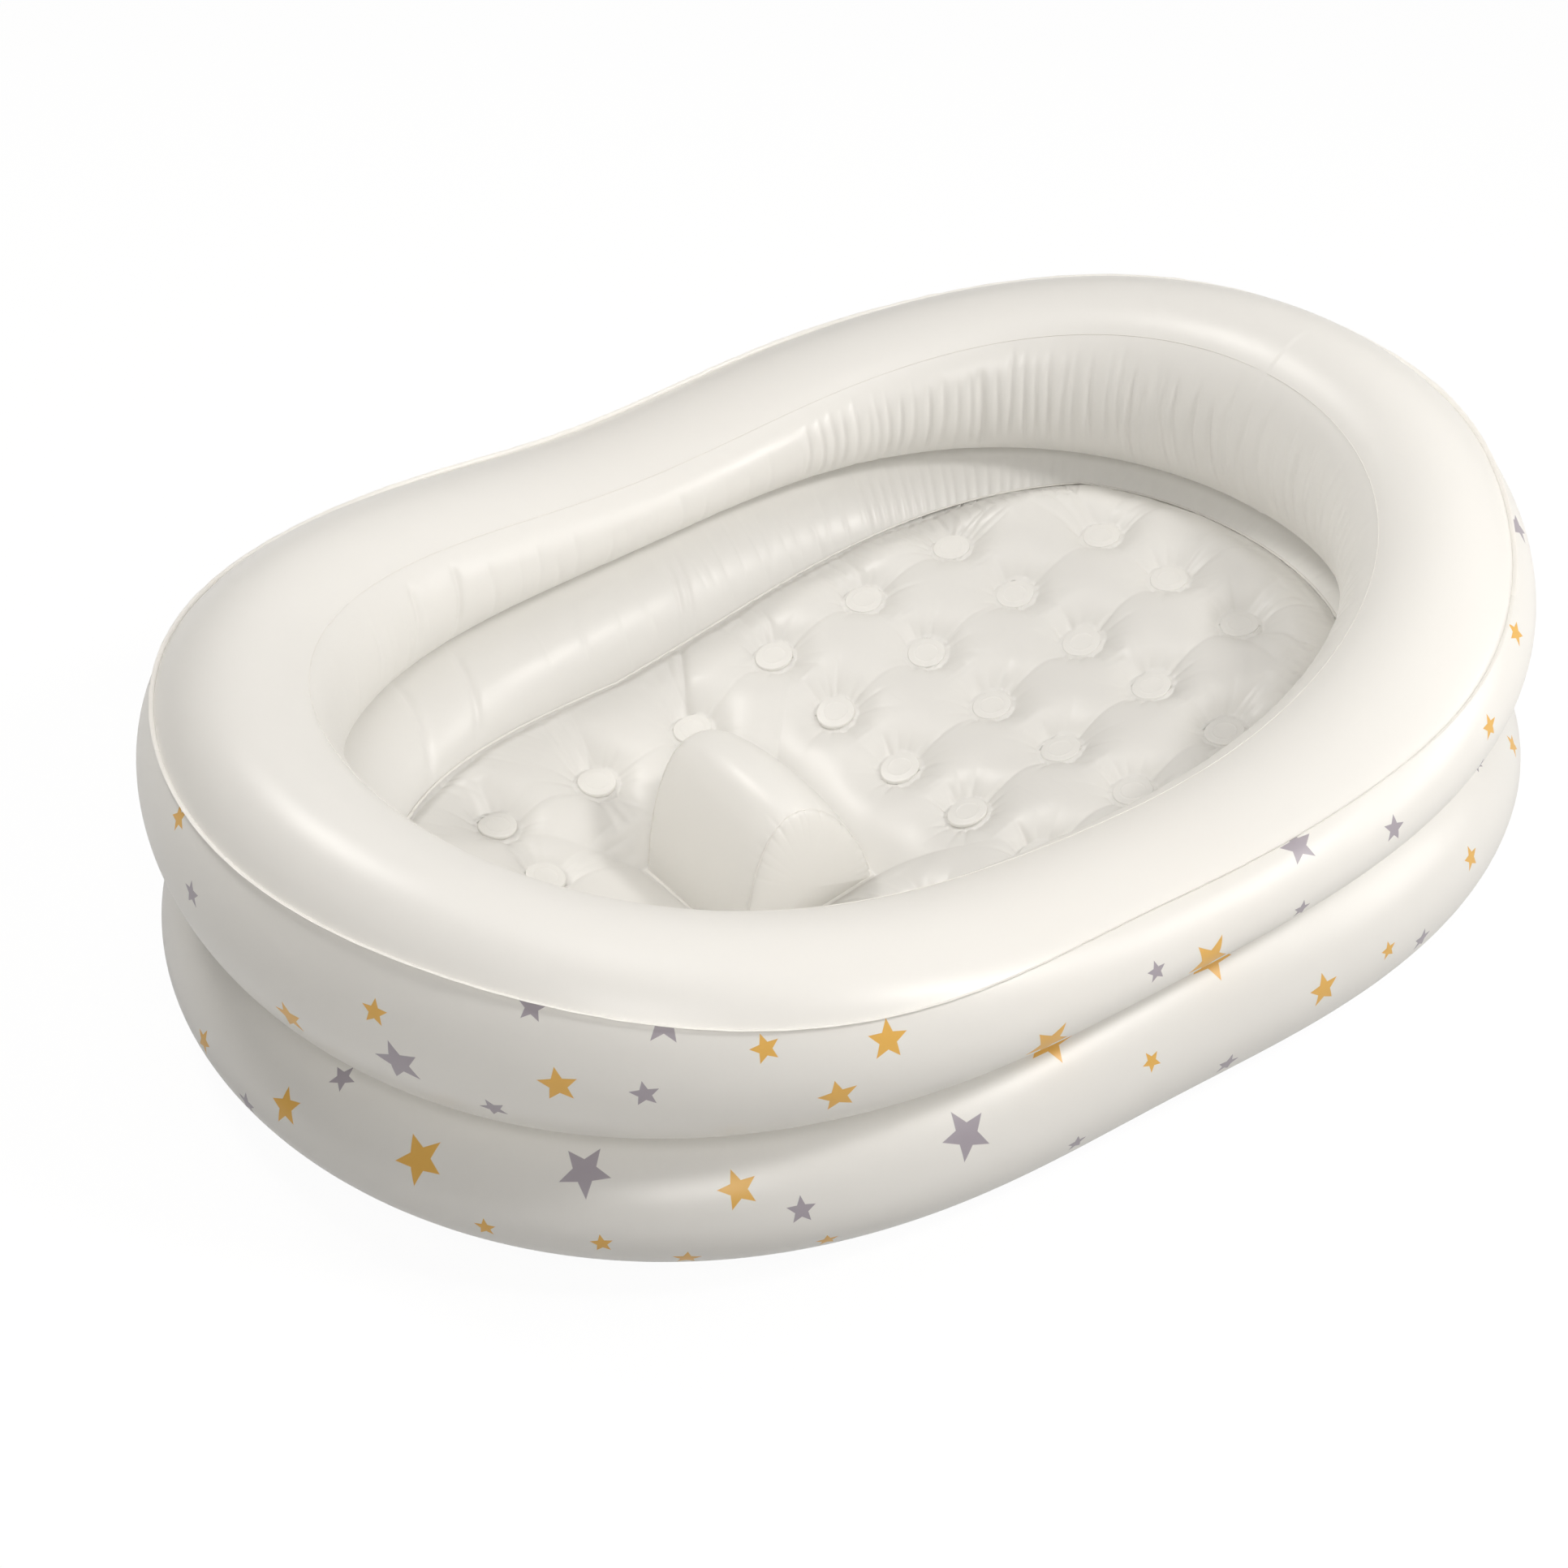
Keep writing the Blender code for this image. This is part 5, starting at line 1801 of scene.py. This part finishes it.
# Calendered soft PVC sheet, gravure printed: satin, with a faint cloudiness and roller grain.
PRINTED_SHEET = PvcFinish(
    "printed_calendered_pvc", "FAF9F6", "F8F7F4", 0.34, 0.00002, 0.0012, 0.0002, 0.030, printed=True
)
# The same sheet unprinted, for the floor and the horn.
FLOOR_SHEET = PvcFinish("calendered_pvc", "FAF9F6", "F8F7F4", 0.36, 0.00002, 0.0012, 0.00012, 0.022)
# Heat-welded and trimmed sheet edge: two sheets fused, a little whiter and glossier.
WELD_EDGE = PvcFinish("welded_pvc_edge", "FBFAF7", "F8F6F2", 0.28, 0.00003, 0.0010, 0.0001, 0.006)
# Injection-moulded soft PVC: milky, smooth and glossier than sheet.
MOULDED = PvcFinish("moulded_soft_pvc", "E9E7E0", "E4E1D9", 0.24, 0.00001, 0.0008, 0.00003, 0.010, coat=0.2)
# Underside sheet: the same stock with a coarser embossed grain against slipping.
BASE_SHEET = PvcFinish("embossed_pvc", "F3F1ED", "EFECE7", 0.45, 0.00008, 0.0016, 0.0002, 0.030)


@dataclass(frozen=True)
class Studio:
    """Pale floor, soft lights and the camera."""

    azimuth: float = math.radians(-36.84)
    elevation: float = math.radians(36.65)
    distance: float = 1.90
    target: tuple[float, float, float] = (-0.0493, 0.0079, 0.0716)
    lens: float = 70.18
    bright_side: tuple[float, float, float] = (0.50, -0.12, 0.86)
    dim: float = 0.085
    bright: float = 0.16
    lamp_colour: str = "FFFCF8"
    paper: str = "B0B0B0"
    glow: float = 1.1
    glow_share: float = 0.86
    # Each lamp's name, place, side in metres and power in watts.
    lamps: tuple[tuple[str, tuple[float, float, float], float, float], ...] = (
        ("key", (0.9, -1.5, 1.9), 0.35, 23.0),
        ("fill", (-1.35, -1.65, 1.95), 0.9, 23.0),
        ("low", (1.6, -1.3, 0.9), 0.9, 17.0),
        ("back", (-0.5, 1.4, 2.2), 0.6, 23.0),
        ("top", (0.0, 0.0, 2.6), 1.2, 10.0),
    )

    def camera(self) -> None:
        """Stands the camera at the photograph's place."""
        data = bpy.data.cameras.new("camera")
        data.lens = self.lens
        data.sensor_width = 36.0
        camera = bpy.data.objects.new("camera", data)
        bpy.context.scene.collection.objects.link(camera)
        level = math.cos(self.elevation)
        x, y = math.sin(self.azimuth) * level, -math.cos(self.azimuth) * level
        back = Vector((x, y, math.sin(self.elevation)))
        camera.location = Vector(self.target) + back * self.distance
        camera.rotation_euler = back.to_track_quat("Z", "Y").to_euler()
        bpy.context.scene.camera = camera

    def hang(self, name: str, place: tuple[float, float, float], size: float, power: float) -> None:
        """Hangs a square soft light that faces the tub.

        Args:
            name: the light's name.
            place: where it hangs.
            size: its side.
            power: its power in watts.
        """
        data = bpy.data.lights.new(name, "AREA")
        data.shape = "SQUARE"
        data.size = size
        data.energy = power
        data.color = linear_colour(self.lamp_colour)[:3]
        lamp = bpy.data.objects.new(name, data)
        bpy.context.scene.collection.objects.link(lamp)
        lamp.location = place
        tub_middle = Vector((0.0, 0.0, 0.1))
        lamp.rotation_euler = (Vector(place) - tub_middle).to_track_quat("Z", "Y").to_euler()

    def background(self, tree: bpy.types.NodeTree) -> bpy.types.NodeSocket:
        """One where a ray from the camera, a mirror or glass meets the backdrop."""
        rays = add_node(tree, "ShaderNodeLightPath").outputs
        first = {0: rays["Is Camera Ray"], 1: rays["Is Glossy Ray"]}
        glossy = add_node(tree, "ShaderNodeMath", first, operation="MAXIMUM")
        both = {0: glossy.outputs[0], 1: rays["Is Transmission Ray"]}
        return add_node(tree, "ShaderNodeMath", both, operation="MAXIMUM").outputs[0]

    def build(self) -> None:
        """Sets the floor, the world, the lights and the camera."""
        bm = bmesh.new()
        bmesh.ops.create_grid(bm, x_segments=2, y_segments=2, size=6.0)
        bmesh.ops.translate(bm, vec=(0.0, 0.0, -0.0004), verts=bm.verts)
        ground = finish_mesh(bm, "studio_floor")
        material = bpy.data.materials.new("pale_paper")
        material.use_nodes = True
        tree = material.node_tree
        tree.nodes.clear()
        white = (1.0, 1.0, 1.0, 1.0)
        paper = add_node(tree, "ShaderNodeBsdfDiffuse", {"Color": linear_colour(self.paper)})
        glow = add_node(tree, "ShaderNodeEmission", {"Color": white, "Strength": self.glow})
        shown = {0: self.background(tree), 1: self.glow_share}
        share = add_node(tree, "ShaderNodeMath", shown, operation="MULTIPLY")
        parts = {0: share.outputs[0], 1: paper.outputs[0], 2: glow.outputs[0]}
        mixed = add_node(tree, "ShaderNodeMixShader", parts)
        add_node(tree, "ShaderNodeOutputMaterial", {"Surface": mixed.outputs[0]})
        ground.data.materials.append(material)
        world = bpy.data.worlds.new("studio")
        world.use_nodes = True
        tree = world.node_tree
        tree.nodes.clear()
        shown = add_node(tree, "ShaderNodeLightPath").outputs["Is Camera Ray"]
        toward = add_node(tree, "ShaderNodeTexCoord").outputs["Generated"]
        sides = {0: toward, 1: self.bright_side}
        facing = add_node(tree, "ShaderNodeVectorMath", sides, operation="DOT_PRODUCT")
        soft = {"Value": facing.outputs["Value"], "From Min": 0.0, "From Max": 1.0}
        lit = {**soft, "To Min": self.dim, "To Max": self.bright}
        fill = add_node(tree, "ShaderNodeMapRange", lit).outputs[0]
        levels = {"Factor": shown, "A": fill, "B": 1.0}
        strength = add_node(tree, "ShaderNodeMix", levels, data_type="FLOAT").outputs[0]
        tint = mix_colours(tree, shown, linear_colour("FFFEFF"), white)
        sky = add_node(tree, "ShaderNodeBackground", {"Color": tint, "Strength": strength})
        add_node(tree, "ShaderNodeOutputWorld", {"Surface": sky.outputs[0]})
        bpy.context.scene.world = world
        bpy.context.scene.view_settings.view_transform = "Standard"
        for lamp in self.lamps:
            self.hang(*lamp)
        self.camera()


UPPER_PLEATS = (
    PleatZone(-20.0, 20.0, 0.0125, 0.0019, 0.0028, 138.0, 244.0, 0.35),
    PleatZone(20.0, 70.0, 0.0095, 0.0020, 0.0027, 136.0, 244.0, 0.25),
    PleatZone(70.0, 122.0, 0.0190, 0.0008, 0.0030, 148.0, 240.0),
    PleatZone(122.0, 165.0, 0.0240, 0.0008, 0.0026, 145.0, 235.0),
)
LOWER_PLEATS = (
    PleatZone(-10.0, 18.0, 0.0120, 0.0005, 0.0020, 105.0, 150.0),
    PleatZone(18.0, 60.0, 0.0068, 0.0012, 0.0018, 103.0, 178.0, 0.14),
    PleatZone(60.0, 90.0, 0.0110, 0.0006, 0.0020, 104.0, 186.0, 0.35),
    PleatZone(90.0, 120.0, 0.0240, 0.0005, 0.0024, 108.0, 186.0),
)
UPPER_FOLDS = (
    Fold(134.0, 135.2, 146.0, 200.0),
    Fold(127.0, 128.2, 145.0, 205.0),
    Fold(41.9, 41.0, 146.0, 226.0),
)
LOWER_FOLDS = (
    Fold(134.0, 141.2, 101.0, 176.0),
    Fold(126.0, 131.0, 108.0, 176.0),
    Fold(93.5, 96.5, 116.0, 176.0, 0.0014, 0.0018),
    Fold(91.8, 94.2, 118.0, 170.0, 0.0014, 0.0018),
)


def main() -> None:
    """Builds every piece and reports it."""
    logging.basicConfig(level=logging.INFO, format="%(message)s")
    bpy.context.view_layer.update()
    Studio().build()
    AirRing(True, UPPER_PLEATS, UPPER_FOLDS, 5).build()
    AirRing(False, LOWER_PLEATS, LOWER_FOLDS, 6).build()
    for weld in WELDS.values():
        weld.build()
    AirFloor().build()
    FloorWeld().build()
    SaddleHorn().build()
    HornWelds().build()
    for valve in (*ring_valves(), AirValve("floor")):
        valve.build()
    FloorDrain().build()
    for node in ("base_sheet", "ring_divider"):
        BASE_SHEET.dress(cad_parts[node])


if __name__ == "__main__":
    main()
